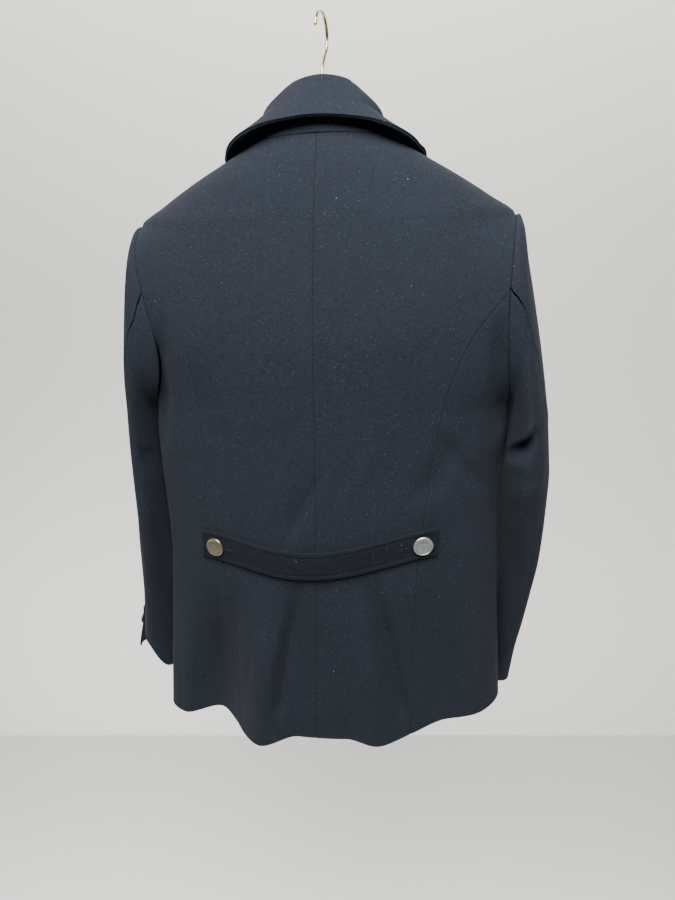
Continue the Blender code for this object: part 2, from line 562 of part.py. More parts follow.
def front_panel(side):
    """One front, from the side seam to its free edge and roll line."""
    sign = 1 if side == "left" else -1
    foot = armhole_z(FRONT_REACH)
    up = (np.array(BACK_LEVELS) - HEM) / (JUNCTION - HEM)
    mid, half = (TIP + ARM_LOW) / 2, (TIP - ARM_LOW) / 2
    turns = np.linspace(math.pi - math.asin(FRONT_REACH / ARM_HALF_Y), 0, 9)[1:]
    arm = mid + half * np.cos(turns)
    levels = np.concatenate([HEM + (foot - HEM) * up, arm, np.array(SHOULDER_LEVELS)])[:, None]
    share = np.linspace(0, 1, FRONT_COLUMNS + 1)[None, :]
    drop = NECK_DROP * smooth((levels - DROP_Z) / (NECK_SIDE - DROP_Z))
    z = levels - drop * share
    edge_x = along(ROLL, "z", "x", levels - drop)
    centre = angle_of(sign * edge_x, levels - drop, False)
    centre = np.where(edge_x < 0, centre + sign * 2 * math.pi, centre)
    seam = seam_angle(sign, levels, True)
    seam = seam + sign * trim(seam, levels)
    seam_x = body_plain(seam, levels)[..., 0]
    x = sign * edge_x + (seam_x - sign * edge_x) * spread(1 - share, FRONT_TURN, levels)
    by_x = (levels < TIP) & (share > 0) & (share < 1)
    phi = np.where(by_x, angle_of(x, z, False), seam + (centre - seam) * share)
    top = np.where(levels == NECK_SIDE, SEAM_GAP, 0)
    x = body_plain(phi, z)[..., 0]
    step = under_step(side, x, z)
    outer, inner = body(phi, z - top, step), body(phi, z - top, step - WALL)
    return shell("front_" + side, outer, inner, cloth())


def on_front(side, x, z, out):
    """Point over a front at x and z, moved out."""
    phi = angle_of(x, z, False)
    return body(phi, z, under_step(side, x, z) + out)


def lapel(side):
    """The turned-back part of a front, lying on it."""
    sign = 1 if side == "left" else -1
    tab = LAPEL_LEFT if side == "left" else LAPEL_RIGHT
    v = np.linspace(0, 1, 11)[:, None]
    u = np.linspace(0, 1, LAPEL_COLUMNS + 1)[None, :]
    roll_z = along(tab, "v", "roll_z", v)
    roll_x = along(ROLL, "z", "x", roll_z)
    edge_x, edge_z = along(tab, "v", "edge_x", v), along(tab, "v", "edge_z", v)
    x = sign * (roll_x + (edge_x - roll_x) * u)
    z = roll_z + (edge_z - roll_z) * u
    puff = PUFF * np.sin(math.pi * np.clip(u, 0, 1)) * smooth(v * 3)
    low = LAY_GAP + puff
    return shell("lapel_" + side, on_front(side, x, z, low + LAPEL_WALL), on_front(side, x, z, low), cloth())


def body_value(p):
    """Below 1 inside the body's rings, above 1 outside, for points with the lean taken off."""
    z = p[..., 2]
    left = p[..., 0] >= 0
    _, side, _, _ = ring(z, left, p[..., 1] > 0)
    wide, side, deep, power = ring(z, left, p[..., 1] >= side)
    return (np.abs(p[..., 0]) / wide) ** power + (np.abs(p[..., 1] - side) / deep) ** power


def stand_off(p, clear):
    """Move points out until they lie at least this far off the body."""
    step = 0.0008
    for _ in range(8):
        value = body_value(p)
        slope = np.stack([body_value(p + step * axis) - body_value(p - step * axis)
                          for axis in np.eye(3)], axis=-1) / (2 * step)
        size = np.linalg.norm(slope, axis=-1)
        away = (value - 1) / size
        p = p + slope / size[..., None] * (0.8 * np.clip(clear - away, 0, 0.01))[..., None]
    return p


def through_middle(tab, name, u, odd):
    """Smooth reading of a collar column, mirrored at the centre back so that no peak is left there."""
    both = {"u": np.concatenate([-tab["u"][:0:-1], tab["u"]]),
            name: np.concatenate([tab[name][:0:-1] * (-1 if odd else 1), tab[name]])}
    return along(both, "u", name, u)


def collar_lines():
    """Middle surface of the collar: rows round the neck, columns from neck edge to outer edge."""
    share = np.linspace(-1, 1, COLLAR_ROWS + 1)
    u = np.abs(share)
    sign = np.where(share < 0, -1, 1)
    point = {}
    for part in "nfe":
        x, y, z = (through_middle(COLLAR, part + axis, u, axis == "x") for axis in "xyz")
        shift = COLLAR_SHIFT * smooth(u / SHIFT_OVER) if part != "n" else 0
        point[part] = np.stack([x * sign + shift, y, z], axis=-1)
    neck, fold, edge = point["n"], point["f"], point["e"]
    to_neck = (neck - fold) / np.linalg.norm(neck - fold, axis=-1, keepdims=True)
    to_edge = (edge - fold) / np.linalg.norm(edge - fold, axis=-1, keepdims=True)
    down = (to_neck + to_edge) / 2
    across = to_neck - to_edge
    across /= np.linalg.norm(across, axis=-1, keepdims=True)
    r = FOLD_RADIUS
    before, after = fold + across * r + down * r, fold - across * r + down * r
    columns = [neck, (neck + before) / 2, before, fold + across * r * 0.7 + down * r * 0.3, fold,
               fold - across * r * 0.7 + down * r * 0.3, after]
    for t in (0.25, 0.5, 0.75, 1.0):
        columns.append(after + (edge - after) * t)
    grid = np.stack(columns, axis=1)
    fall = np.array(FALL)[None, :]
    apart = smooth((u - FALL_FROM) / FALL_OVER)[:, None]
    pushed = stand_off(grid, COLLAR_WALL / 2 + COLLAR_CLEAR)
    return grid + (pushed - grid) * (fall * apart)[..., None]


def thicken(middle, wall):
    """Two grids half a wall either side of a middle grid."""
    along_row = np.gradient(middle, axis=0)
    across_row = np.gradient(middle, axis=1)
    normal = np.cross(along_row, across_row)
    normal /= np.linalg.norm(normal, axis=-1, keepdims=True)
    return middle + normal * wall / 2, middle - normal * wall / 2


def lean(points):
    """Lean of the whole garment on its hanger."""
    points = points.copy()
    points[..., 2] += LEAN * points[..., 0]
    return points


def collar():
    """The turned-down collar: stand, fold and fall in one double layer."""
    one, two = thicken(collar_lines(), COLLAR_WALL)
    return shell("collar", lean(one), lean(two), cloth())


def upper_angle(side, row, share):
    """Angle across the upper sleeve, from its front seam (0) to its back edge (1)."""
    seam = along(SLEEVES[side], "row", "seam", row)
    past = np.where(row > VENT_ROW + LAP_ROWS, VENT_LAP, -seam_trim(row))
    first = FRONT_SEAM + seam_trim(row)
    return first + (seam + past - first) * share


def upper_out(side, row, share):
    """How far the upper sleeve stands off at the cuff's slit."""
    lap = smooth((row - VENT_ROW) / LAP_ROWS)
    flare = VENT_FLARE[side] * smooth((row - FLARE_FROM[side]) / FLARE_ROWS)
    return (flare + WALL + LAP_CLEAR[side]) * lap * smooth((share - LAP_FROM) / LAP_WIDE)


def seam_trim(row):
    """Half a sleeve seam's gap in degrees, wider where the seam runs slantwise."""
    return SEAM_TRIM + SLANT_TRIM * (1 - smooth(row / SLANT_ROWS))


def cuff_cut(side, row, past):
    """How many rings higher the under sleeve ends, this many degrees past its back seam."""
    return CUFF_CUT[side] * smooth((row - SLEEVE_ROWS + CUT_ROWS) / CUT_ROWS) * (1 - smooth((past - CUT_FROM) / CUT_SPAN))


def sleeve_pieces(side):
    """Upper sleeve, with the cuff slit's lap, and under sleeve."""
    rows = np.array([0, 0.5, 1, 1.5, 2, 2.5, 3, 3.5, 4, 5, 6, 6.6, 7.2, 7.8, 8.4, 9, 10, 11, 12,
                     VENT_ROW, VENT_ROW + LAP_ROWS, VENT_ROW + 0.6, 14.2, SLEEVE_ROWS])[:, None]
    away = ARM_GAP if side == "left" else -ARM_GAP
    start = np.where(rows == 0, away, 0)[..., None] * np.array([1, 0, 0])
    share = np.linspace(0, 1, 12)[None, :]
    angle, out = upper_angle(side, rows, share), upper_out(side, rows, share)
    outer = sleeve(side, angle, rows, out) + start
    inner = sleeve(side, angle, rows, out - WALL) + start
    shell("sleeve_upper_" + side, outer, inner, cloth())
    share = np.linspace(0, 1, 11)[None, :]
    first = along(SLEEVES[side], "row", "seam", rows) + seam_trim(rows)
    last = FRONT_SEAM + 360 - seam_trim(rows)
    angle = first + (last - first) * share
    row = rows - cuff_cut(side, rows, angle - first)
    shell("sleeve_under_" + side, sleeve(side, angle, row) + start,
          sleeve(side, angle, row, -WALL) + start, cloth())


def belt_line(x):
    """Height of the half belt's middle at x, before the lean."""
    r = np.clip(np.abs(x - BELT_LOW_X) / (BELT_HALF - BELT_LOW_X * np.sign(x - BELT_LOW_X)), 0, 1)
    return BELT_Z + BELT_SLOPE * x - BELT_SAG * (1 - smooth(r ** 1.15))


def belt_off(x):
    """How far the half belt's inner face stands off the back."""
    return LAY_GAP + BELT_OFF * (1 - smooth(np.abs(x) / (0.8 * BELT_HALF)))


def on_back(x, z, out):
    """Point over the back at x and z, moved out."""
    return body(angle_of(x, z), z, out)


def half_belt():
    """The sagging half belt, square at both ends."""
    x = BELT_SHIFT + np.linspace(-BELT_HALF, BELT_HALF, 23)[None, :]
    rise = BELT_TALL * np.linspace(-0.5, 0.5, 5)[:, None]
    z = belt_line(x) + rise
    x = x + 0 * rise
    off = belt_off(x)
    return shell("half_belt", on_back(x, z, off + BELT_WALL), on_back(x, z, off), cloth())


def button(name, diameter, at, normal, mat):
    """A round metal button with a raised rim and a short shank, seated on its back."""
    k = diameter / BUTTON
    profile = [(0.0030, 0.0), (0.0030, 0.0009), (0.0112, 0.0010), (0.0125, 0.0018), (0.0122, 0.0034),
               (0.0108, 0.0036), (0.0099, 0.0028)]
    sides = 16
    mesh = bpy.data.meshes.new(name)
    points = [(r * k * math.cos(2 * math.pi * i / sides), r * k * math.sin(2 * math.pi * i / sides), z * k)
              for r, z in profile for i in range(sides)]
    faces = []
    for j in range(len(profile) - 1):
        for i in range(sides):
            a, b = j * sides + i, j * sides + (i + 1) % sides
            faces.append((a, b, b + sides, a + sides))
    first, last = len(points), len(points) + 1
    points += [(0, 0, 0), (0, 0, 0.0031 * k)]
    top = (len(profile) - 1) * sides
    for i in range(sides):
        faces.append((first, (i + 1) % sides, i))
        faces.append((last, top + i, top + (i + 1) % sides))
    turn = Vector(normal).to_track_quat("Z", "Y").to_matrix().to_4x4()
    mesh.from_pydata(points, [], faces)
    mesh.transform(Matrix.Translation(Vector(at)) @ turn)
    return finish(name, mesh, mat, 35)


def facing(place, *where):
    """A point and its outward direction from a function of x, z and out."""
    low, high = place(*where, np.zeros(())), place(*where, np.full((), 0.001))
    return low, (high - low) / np.linalg.norm(high - low)


def buttons():
    """Belt, cuff and front buttons."""
    metal = {side: material("button_metal_" + side, METALS[side], 0.32, 1.0) for side in METALS}
    on_cuff = {"left": on_cuff_left, "right": on_cuff_right}
    for side, sign in (("left", 1), ("right", -1)):
        x = np.array(sign * BELT_BUTTON_X)
        at, normal = facing(on_back, x, belt_line(x))
        off = float(belt_off(x)) + BELT_WALL + BUTTON_GAP
        button("belt_button_" + side, BUTTON, at + normal * off, normal, metal[side])
        at, normal = facing(on_cuff[side], np.array(CUFF_BUTTON_SHARE), np.array(CUFF_BUTTON_ROW))
        button("cuff_button_" + side, CUFF_BUTTON, at + normal * BUTTON_GAP, normal, metal["right"])
        for i, z in enumerate(FRONT_BUTTONS):
            at, normal = facing(on_front_left, np.array(sign * FRONT_BUTTON_X), np.array(z))
            button("front_button_%s_%d" % (side, i + 1), BUTTON, at + normal * BUTTON_GAP, normal,
                   metal["right"])


def on_front_left(x, z, out):
    """Point over the upper front, moved out."""
    return on_front("left", x, z, out)


def on_cuff_left(share, row, out):
    """Point over the left upper sleeve, moved out."""
    return sleeve("left", upper_angle("left", row, share), row, upper_out("left", row, share) + out)


def on_cuff_right(share, row, out):
    """Point over the right upper sleeve, moved out."""
    return sleeve("right", upper_angle("right", row, share), row, upper_out("right", row, share) + out)


def tube_points():
    """Middle of the hook's wire: straight stem, round crook and a short end."""
    centre = WIRE / 2 - CROOK_RADIUS
    turn = CROOK_RADIUS * math.sqrt(0.5)
    low, bend, join = HOOK_BEND, centre - 2 * turn, centre - turn
    points = [(0.0, HOOK_FOOT), (0.0, (HOOK_FOOT + low) / 2)]
    for i in range(6):
        t = i / 6
        q = -turn * t * t
        z = low * (1 - t) ** 2 + 2 * bend * t * (1 - t) + join * t * t
        points.append((q, z))
    for i in range(15):
        a = math.radians(225 - 15 * i)
        points.append((CROOK_RADIUS * math.cos(a), centre + CROOK_RADIUS * math.sin(a)))
    return [(HOOK_TURN[0] * q, HOOK_TURN[1] * q, z) for q, z in points]


def hook():
    """The wire hook, a brass tube with closed ends."""
    curve = bpy.data.curves.new("hanger_hook", "CURVE")
    curve.dimensions = "3D"
    curve.bevel_depth = WIRE / 2
    curve.bevel_resolution = 2
    curve.use_fill_caps = True
    line = curve.splines.new("POLY")
    points = tube_points()
    line.points.add(len(points) - 1)
    for slot, p in zip(line.points, points):
        slot.co = (*p, 1)
    curve.materials.append(material("hook_brass", (0.48, 0.38, 0.20), 0.30, 1.0))
    obj = bpy.data.objects.new("hanger_hook", curve)
    bpy.context.scene.collection.objects.link(obj)
    return obj


def hanger_arm(side):
    """Rings of one wooden arm, from the middle to its tip inside the shoulder."""
    sign = 1 if side == "left" else -1
    heights = np.array((NECK_SIDE,) + SHOULDER_LEVELS[-2::-1] + (TIP,))
    widths = along(BODY, "z", side, heights)
    x = np.array([0.0, 0.035, 0.058, *widths[:-1], widths[-1] - HANGER_SHORT])
    top = np.interp(x, widths, heights)
    top[:3] = (HANGER_TOP, HANGER_TOP, (HANGER_TOP + NECK_SIDE) / 2)
    slope = np.interp(x, x[:-1], np.diff(top) / np.diff(x))
    sink = (WALL + LAY_GAP) * np.sqrt(1 + np.minimum(slope, np.gradient(top, x)) ** 2)
    sink[:3] = WALL + LAY_GAP
    y = along(BODY, "z", "side_l", np.clip(top, TIP, NECK_SIDE))
    y[:2] = 0
    tall = np.where(x > HANGER_TAPER, HANGER_THIN, HANGER_TALL)
    a = np.linspace(0, 2 * math.pi, 12, endpoint=False)
    return [np.stack([sign * x[i] + 0 * a, y[i] + HANGER_DEEP * np.sin(a),
                      top[i] - sink[i] - tall[i] + tall[i] * np.cos(a)], -1) for i in range(len(x))]


def hanger():
    """Plain wooden hanger; each arm follows the inside of its shoulder."""
    rings = lean(np.array(hanger_arm("right")[:0:-1] + hanger_arm("left")))
    count, sides = rings.shape[:2]
    faces = [(j * sides + i, j * sides + (i + 1) % sides, (j + 1) * sides + (i + 1) % sides,
              (j + 1) * sides + i) for j in range(count - 1) for i in range(sides)]
    faces += [tuple(range(sides)), tuple(range((count - 1) * sides, count * sides))]
    mesh = bpy.data.meshes.new("hanger_body")
    mesh.from_pydata([tuple(p) for p in rings.reshape(-1, 3)], [], faces)
    return finish("hanger_body", mesh, material("hanger_wood", (0.05, 0.035, 0.025), 0.45), 40)


def main():
    for obj in list(bpy.data.objects):
        bpy.data.objects.remove(obj, do_unlink=True)
    for side in ("left", "right"):
        back_panel(side)
        side_panel(side)
        front_panel(side)
        lapel(side)
        sleeve_pieces(side)
    collar()
    half_belt()
    buttons()
    hanger()
    hook()


main()
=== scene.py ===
"""Short double-breasted wool blazer with a half belt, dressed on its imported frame.

Metres, +Z up. The origin is the inside top of the hanger's crook. The back of the
blazer faces +Y, its front -Y, and the wearer's left is +X. Each cloth piece is a
thin closed wall on the form of its solid, with turned edges, pulled-in seams and
soft folds.
"""
import math

import bmesh
import bpy
import numpy as np
from bpy.props import FloatProperty, FloatVectorProperty, PointerProperty
from mathutils import Matrix, Vector


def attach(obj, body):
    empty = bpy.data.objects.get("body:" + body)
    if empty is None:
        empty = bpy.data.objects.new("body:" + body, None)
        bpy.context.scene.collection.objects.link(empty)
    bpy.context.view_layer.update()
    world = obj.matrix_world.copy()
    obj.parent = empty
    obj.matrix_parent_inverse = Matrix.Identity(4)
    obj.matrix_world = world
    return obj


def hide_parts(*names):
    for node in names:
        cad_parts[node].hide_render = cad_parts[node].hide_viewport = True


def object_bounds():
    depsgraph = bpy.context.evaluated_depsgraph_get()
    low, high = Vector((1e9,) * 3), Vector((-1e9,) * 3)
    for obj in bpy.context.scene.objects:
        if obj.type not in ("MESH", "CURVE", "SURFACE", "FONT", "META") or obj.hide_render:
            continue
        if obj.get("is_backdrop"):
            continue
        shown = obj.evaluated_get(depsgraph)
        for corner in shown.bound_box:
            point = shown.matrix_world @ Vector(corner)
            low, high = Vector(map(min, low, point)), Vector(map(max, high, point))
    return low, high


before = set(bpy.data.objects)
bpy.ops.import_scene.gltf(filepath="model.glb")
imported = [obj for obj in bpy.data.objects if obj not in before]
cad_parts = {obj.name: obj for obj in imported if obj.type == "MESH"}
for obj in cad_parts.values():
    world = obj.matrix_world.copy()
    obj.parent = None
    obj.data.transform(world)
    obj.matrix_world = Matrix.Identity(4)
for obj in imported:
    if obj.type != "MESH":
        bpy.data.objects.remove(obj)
CAD_BOX = [list(corner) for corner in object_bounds()]

bl_info = {
    "name": "Short blazer on a hanger",
    "version": (1, 0, 0),
    "blender": (4, 5, 0),
    "location": "3D View > Sidebar > Blazer",
    "description": "Short double-breasted wool blazer with a half belt, on its hanger",
    "category": "Add Mesh",
}

# Cloth and seams
WALL = 0.0026            # melton wool, one layer
COLLAR_WALL = 0.0046     # collar, two layers
BELT_WALL = 0.0036       # half belt, two layers
LAPEL_WALL = 0.0032      # lapel, cloth and facing pressed together
ARM_GAP = -0.0004        # between an armhole and its sleeve: they press together, when drawn
LAY_GAP = 0.0005         # between a panel and what lies on it
SIGNS = {"left": 1, "right": -1}         # of x, on the wearer's two sides

# Heights of the body, before the garment's lean
HEM = -0.875
JUNCTION = -0.282        # back seam meets the armhole
TIP = -0.2065            # end of the shoulder
NECK_SIDE = -0.1225
NECK_BACK = -0.1165
LEAN = -0.034            # rise per metre of x: the left side hangs lower

# Armhole oval, in an upright plane
ARM_LOW = -0.420
ARM_MID, ARM_HALF = (TIP + ARM_LOW) / 2, (TIP - ARM_LOW) / 2
ARM_HALF_Y = 0.062
ARM_TOP_X = {"left": 0.2205, "right": 0.2165}
ARM_LOW_X = {"left": 0.2190, "right": 0.2290}
ARM_SCOOP = {"left": 0.0216, "right": 0.0090}    # the back edge is cut in by this much
ARM_SKEW = {"left": 0.89, "right": 0.0}          # and lower down by this share more
HEM_RISE = 0.010         # lift of the hem at the right side
HEM_DROP = 0.003         # drop of the hem at the left side
RISE_FROM, RISE_WIDE = 0.170, 0.080              # where the lift starts, and over what width
DROP_FROM, DROP_WIDE = 0.180, 0.030
HEM_ZONE, HEM_FADE = -0.780, 0.095               # the lift and drop fade in below this height

UNDER_STEP = 0.0034      # the under front lies this far inside the upper one
STEP_X, STEP_WIDE = -0.108, 0.034                # the step starts here and grows over this width
STEP_Z, STEP_TALL = -0.262, 0.035
NECK_DROP, DROP_Z = 0.0075, -0.250               # the fronts' columns slope down to the neck from here
PUFF = 0.0030            # a lapel stands off this much more in its middle

# Hanger and buttons
WIRE = 0.0033
CROOK_RADIUS = 0.0216
HOOK_BEND = -0.060       # the straight stem ends here
HOOK_TURN = (0.13, 0.9915)   # direction of the hook's plane, mostly front to back
HANGER_TOP = -0.1195
HOOK_FOOT = HANGER_TOP - WALL - LAY_GAP + 0.0003   # the stem stands on the wood, 0.3 mm off
HANGER_SHORT = 0.019     # each arm ends this far inside the shoulder's end
HANGER_TALL, HANGER_THIN, HANGER_DEEP = 0.0105, 0.0080, 0.0085   # half sizes of an arm
HANGER_TAPER = 0.165     # the arms are thinner beyond this
BUTTON = 0.0250          # diameter that its shape is drawn at
BUTTON_GAP = 0.0004      # between a button's shank and the cloth
FRONT_BUTTONS = (-0.472, -0.572, -0.672)
FRONT_BUTTON_X = 0.045
CUFF_BUTTON_ROW, CUFF_BUTTON_SHARE = 13.9, 0.955

# Half belt
BELT_HALF = 0.1505
BELT_SHIFT = 0.0015      # the belt sits a little to the left
BELT_TALL = 0.038
BELT_Z = -0.591
BELT_SAG = 0.0226
BELT_SLOPE = -0.044
BELT_LOW_X = 0.010
BELT_BUTTON_X = 0.131
BELT_CURVE = 1.15        # power of the sag's form
BELT_OFF = 0.0022        # the belt's middle stands off the back by this much
BELT_REACH = 0.8         # and lies on the back beyond this share of its half length


def table(columns, lines):
    """A table as a dictionary of named columns."""
    values = np.array(lines, dtype=float)
    return {name: values[:, i] for i, name in enumerate(columns.split())}


def rows(tab):
    """The rows of a table, one after another."""
    return zip(*tab.values())


def pair(a, b):
    """Two numbers or arrays as arrays of one shape."""
    return np.broadcast_arrays(np.asarray(a, float), np.asarray(b, float))


def along(tab, key, name, at):
    """Smooth, monotone reading of one column at any value of the key column."""
    xs, ys = tab[key], tab[name]
    if xs[0] > xs[-1]:
        xs, ys = xs[::-1], ys[::-1]
    h = np.diff(xs)
    d = np.diff(ys) / h
    slope = np.zeros(len(xs))
    for i in range(1, len(xs) - 1):
        if d[i - 1] * d[i] > 0:
            w1, w2 = 2 * h[i] + h[i - 1], h[i] + 2 * h[i - 1]
            slope[i] = (w1 + w2) / (w1 / d[i - 1] + w2 / d[i])
    slope[0], slope[-1] = d[0], d[-1]
    at = np.clip(np.asarray(at, dtype=float), xs[0], xs[-1])
    i = np.clip(np.searchsorted(xs, at) - 1, 0, len(xs) - 2)
    t = (at - xs[i]) / h[i]
    return (ys[i] * (1 + 2 * t) * (1 - t) ** 2 + ys[i + 1] * t * t * (3 - 2 * t)
            + h[i] * (slope[i] * t * (1 - t) ** 2 + slope[i + 1] * t * t * (t - 1)))


# Level rings of the body: half widths on the wearer's left and right, depth of the
# widest point on each side, centre back and centre front, and how round the ring is.
BODY = table("z left right side_l side_r back front round", [
    (-0.875, 0.2275, 0.2510, 0.026, -0.022, 0.0875, -0.0900, 1.85),
    (-0.800, 0.2240, 0.2450, 0.018, -0.018, 0.0830, -0.0890, 1.90),
    (-0.700, 0.2185, 0.2350, 0.008, -0.013, 0.0775, -0.0870, 1.95),
    (-0.620, 0.2150, 0.2285, 0.000, -0.010, 0.0745, -0.0850, 2.05),
    (-0.560, 0.2175, 0.2220, -0.004, -0.010, 0.0730, -0.0850, 2.10),
    (-0.510, 0.2203, 0.2215, -0.006, -0.010, 0.0728, -0.0860, 2.10),
    (-0.455, 0.2222, 0.2285, -0.009, -0.010, 0.0735, -0.0875, 2.15),
    (-0.420, 0.2190, 0.2290, -0.010, -0.010, 0.0745, -0.0880, 2.20),
    (-0.350, 0.2190, 0.2250, -0.010, -0.010, 0.0755, -0.0880, 2.20),
    (-0.280, 0.2180, 0.2180, -0.010, -0.010, 0.0715, -0.0830, 2.15),
    (-0.2065, 0.2205, 0.2165, -0.010, -0.010, 0.0620, -0.0700, 2.05),
    (-0.185, 0.1910, 0.1870, -0.010, -0.010, 0.0580, -0.0640, 2.00),
    (-0.163, 0.1555, 0.1515, -0.009, -0.009, 0.0530, -0.0560, 2.00),
    (-0.141, 0.1145, 0.1125, -0.008, -0.008, 0.0465, -0.0440, 2.00),
    (-0.1225, 0.0800, 0.0800, -0.006, -0.006, 0.0385, -0.0300, 2.00),
    (-0.1100, 0.0620, 0.0620, -0.006, -0.006, 0.0330, -0.0240, 2.00),
])

# Distance of the curved back seams from the middle, from the hem to the armhole
PRINCESS_TURN = -0.32
PRINCESS = table("z left right", [
    (-0.875, 0.1100, 0.1275), (-0.815, 0.1095, 0.1258), (-0.740, 0.1125, 0.1260),
    (-0.680, 0.1166, 0.1260), (-0.640, 0.1215, 0.1262), (-0.600, 0.1270, 0.1275),
    (-0.550, 0.1340, 0.1325), (-0.497, 0.1390, 0.1368), (-0.455, 0.1425, 0.1420),
    (-0.400, 0.1460, 0.1510), (-0.362, 0.1505, 0.1625), (-0.338, 0.1570, 0.1725),
    (-0.320, 0.1670, 0.1830), (-0.300, 0.1835, 0.1975), (-0.282, 0.2020, 0.2110),
])

FOLD_RISE, FOLD_FOOT = 0.6, 0.030    # share of a fold's height, and length at its foot, of its fading
FOLD_REACH = 2.5         # folds fade towards the side, where the ring's reach is below 1 / this
RING_MOST = 0.95         # share of a ring's depth that the armhole takes at most

# Soft folds of the body: x at the foot and at the head, heights of both ends,
# half width, and how far it stands out (a hollow is negative). Back folds only.
FOLDS = table("x_low x_high z_low z_high half out", [
    (0.073, 0.068, -0.905, -0.630, 0.048, 0.0260),
    (0.150, 0.136, -0.905, -0.640, 0.050, -0.0320),
    (-0.088, -0.058, -0.905, -0.640, 0.044, 0.0160),
    (-0.176, -0.140, -0.905, -0.640, 0.058, -0.0190),
    (0.046, 0.025, -0.850, -0.610, 0.019, -0.0045),
    (-0.115, -0.072, -0.860, -0.605, 0.020, -0.0050),
    (0.004, 0.004, -0.840, -0.630, 0.024, -0.0030),
    (0.036, 0.004, -0.585, -0.480, 0.020, -0.0035),
    (-0.125, -0.175, -0.540, -0.430, 0.030, -0.0045),
    (0.120, 0.150, -0.470, -0.350, 0.030, -0.0030),
])

# Rings of a sleeve from the armhole to the cuff. The upper end of a ring turns from
# the shoulder to the outer side, the lower end from the underarm to the inner side.
SLEEVE_COLUMNS = "row out_x out_z in_x in_z mid_y half_y twist seam"
SLEEVE_RIGHT = table(SLEEVE_COLUMNS, [
    (0, 0.2165, -0.2065, 0.2290, -0.4200, -0.010, 0.0620, 0, 72),
    (1, 0.2208, -0.2058, 0.2299, -0.4220, -0.010, 0.0640, 0, 76),
    (2, 0.2262, -0.2160, 0.2303, -0.4250, -0.011, 0.0655, 0, 77),
    (3, 0.2330, -0.2470, 0.2305, -0.4290, -0.012, 0.0670, 0, 72),
    (4, 0.2435, -0.2890, 0.2305, -0.4350, -0.014, 0.0680, 0, 65),
    (5, 0.2555, -0.3400, 0.2305, -0.4450, -0.016, 0.0690, 0, 53),
    (6, 0.2670, -0.3945, 0.2297, -0.4600, -0.018, 0.0700, 0, 44),
    (7, 0.2755, -0.4400, 0.2266, -0.4800, -0.021, 0.0700, 0, 37),
    (8, 0.2815, -0.4830, 0.2238, -0.5050, -0.026, 0.0695, 2, 34),
    (9, 0.2865, -0.5300, 0.2232, -0.5400, -0.034, 0.0685, 4, 31),
    (10, 0.2872, -0.5850, 0.2245, -0.5880, -0.046, 0.0670, 8, 27),
    (11, 0.2850, -0.6400, 0.2262, -0.6410, -0.058, 0.0650, 13, 23),
    (12, 0.2770, -0.7020, 0.2230, -0.7020, -0.070, 0.0620, 19, 19),
    (13, 0.2700, -0.7550, 0.2185, -0.7550, -0.080, 0.0600, 24, 16),
    (14, 0.2615, -0.8080, 0.2130, -0.8080, -0.088, 0.0580, 29, 15),
    (15, 0.2560, -0.8630, 0.2080, -0.8630, -0.092, 0.0570, 32, 15),
])
SLEEVE_LEFT = table(SLEEVE_COLUMNS, [
    (0, 0.2205, -0.2065, 0.2190, -0.420, -0.010, 0.0620, 0, 70),
    (1, 0.2243, -0.2068, 0.2208, -0.422, -0.010, 0.0640, 0, 77),
    (2, 0.2284, -0.2150, 0.2220, -0.425, -0.011, 0.0655, 0, 87),
    (3, 0.2328, -0.2420, 0.2232, -0.429, -0.013, 0.0665, 0, 89),
    (4, 0.2400, -0.2870, 0.2242, -0.434, -0.016, 0.0670, 0, 82),
    (5, 0.2475, -0.3400, 0.2250, -0.444, -0.019, 0.0675, 0, 66),
    (6, 0.2515, -0.3945, 0.2252, -0.458, -0.022, 0.0680, 0, 50),
    (7, 0.2555, -0.4400, 0.2250, -0.478, -0.025, 0.0680, 0, 38),
    (8, 0.2588, -0.4830, 0.2242, -0.502, -0.028, 0.0680, 0, 30),
    (9, 0.2620, -0.5300, 0.2228, -0.538, -0.032, 0.0685, 0, 25),
    (10, 0.2658, -0.5850, 0.2210, -0.588, -0.037, 0.0685, 0, 23),
    (11, 0.2715, -0.6400, 0.2215, -0.641, -0.043, 0.0670, 0, 22),
    (12, 0.2750, -0.6980, 0.2240, -0.700, -0.049, 0.0640, 2, 20),
    (13, 0.2805, -0.7430, 0.2275, -0.751, -0.053, 0.0610, 3, 18),
    (14, 0.2862, -0.7860, 0.2300, -0.803, -0.056, 0.0590, 4, 16),
    (15, 0.2900, -0.8310, 0.2300, -0.853, -0.058, 0.0580, 4, 16),
])
SLEEVES = {"left": SLEEVE_LEFT, "right": SLEEVE_RIGHT}
SLEEVE_ROWS = 15
SCOOP_ROWS = 3.0         # the scoop of the armhole fades over these rings
PLANE_ROWS = 1.5         # the wall's edge turns into the armhole's plane over these rings
FRONT_SEAM = -104.0      # sleeve's front seam, degrees from its outer line
VENT_ROW = 13.0          # the cuff's slit starts here
VENT_LAP = 11.0          # degrees that the upper sleeve laps over the under sleeve
VENT_FLARE = {"left": 0.0085, "right": 0.0026}   # the lap stands off this much more at the cuff
FLARE_FROM = {"left": 13.6, "right": 13.0}
FLARE_ROWS = 1.6
LAP_CLEAR = {"left": 0.0018, "right": 0.0004}    # between the lap and the under sleeve
CUFF_CUT = {"left": 0.72, "right": 0.0}          # the under sleeve ends this many rings higher
CUT_FROM, CUT_SPAN, CUT_ROWS = 54.0, 60.0, 1.9   # by the slit, fading from and over these degrees
LAP_ROWS = 0.25          # the lap rises off the under sleeve over these rings
LAP_FROM, LAP_WIDE = 0.78, 0.17                  # shares of the upper sleeve's width
SEAM_TRIM, SLANT_TRIM, SLANT_ROWS = 0.26, 0.34, 6

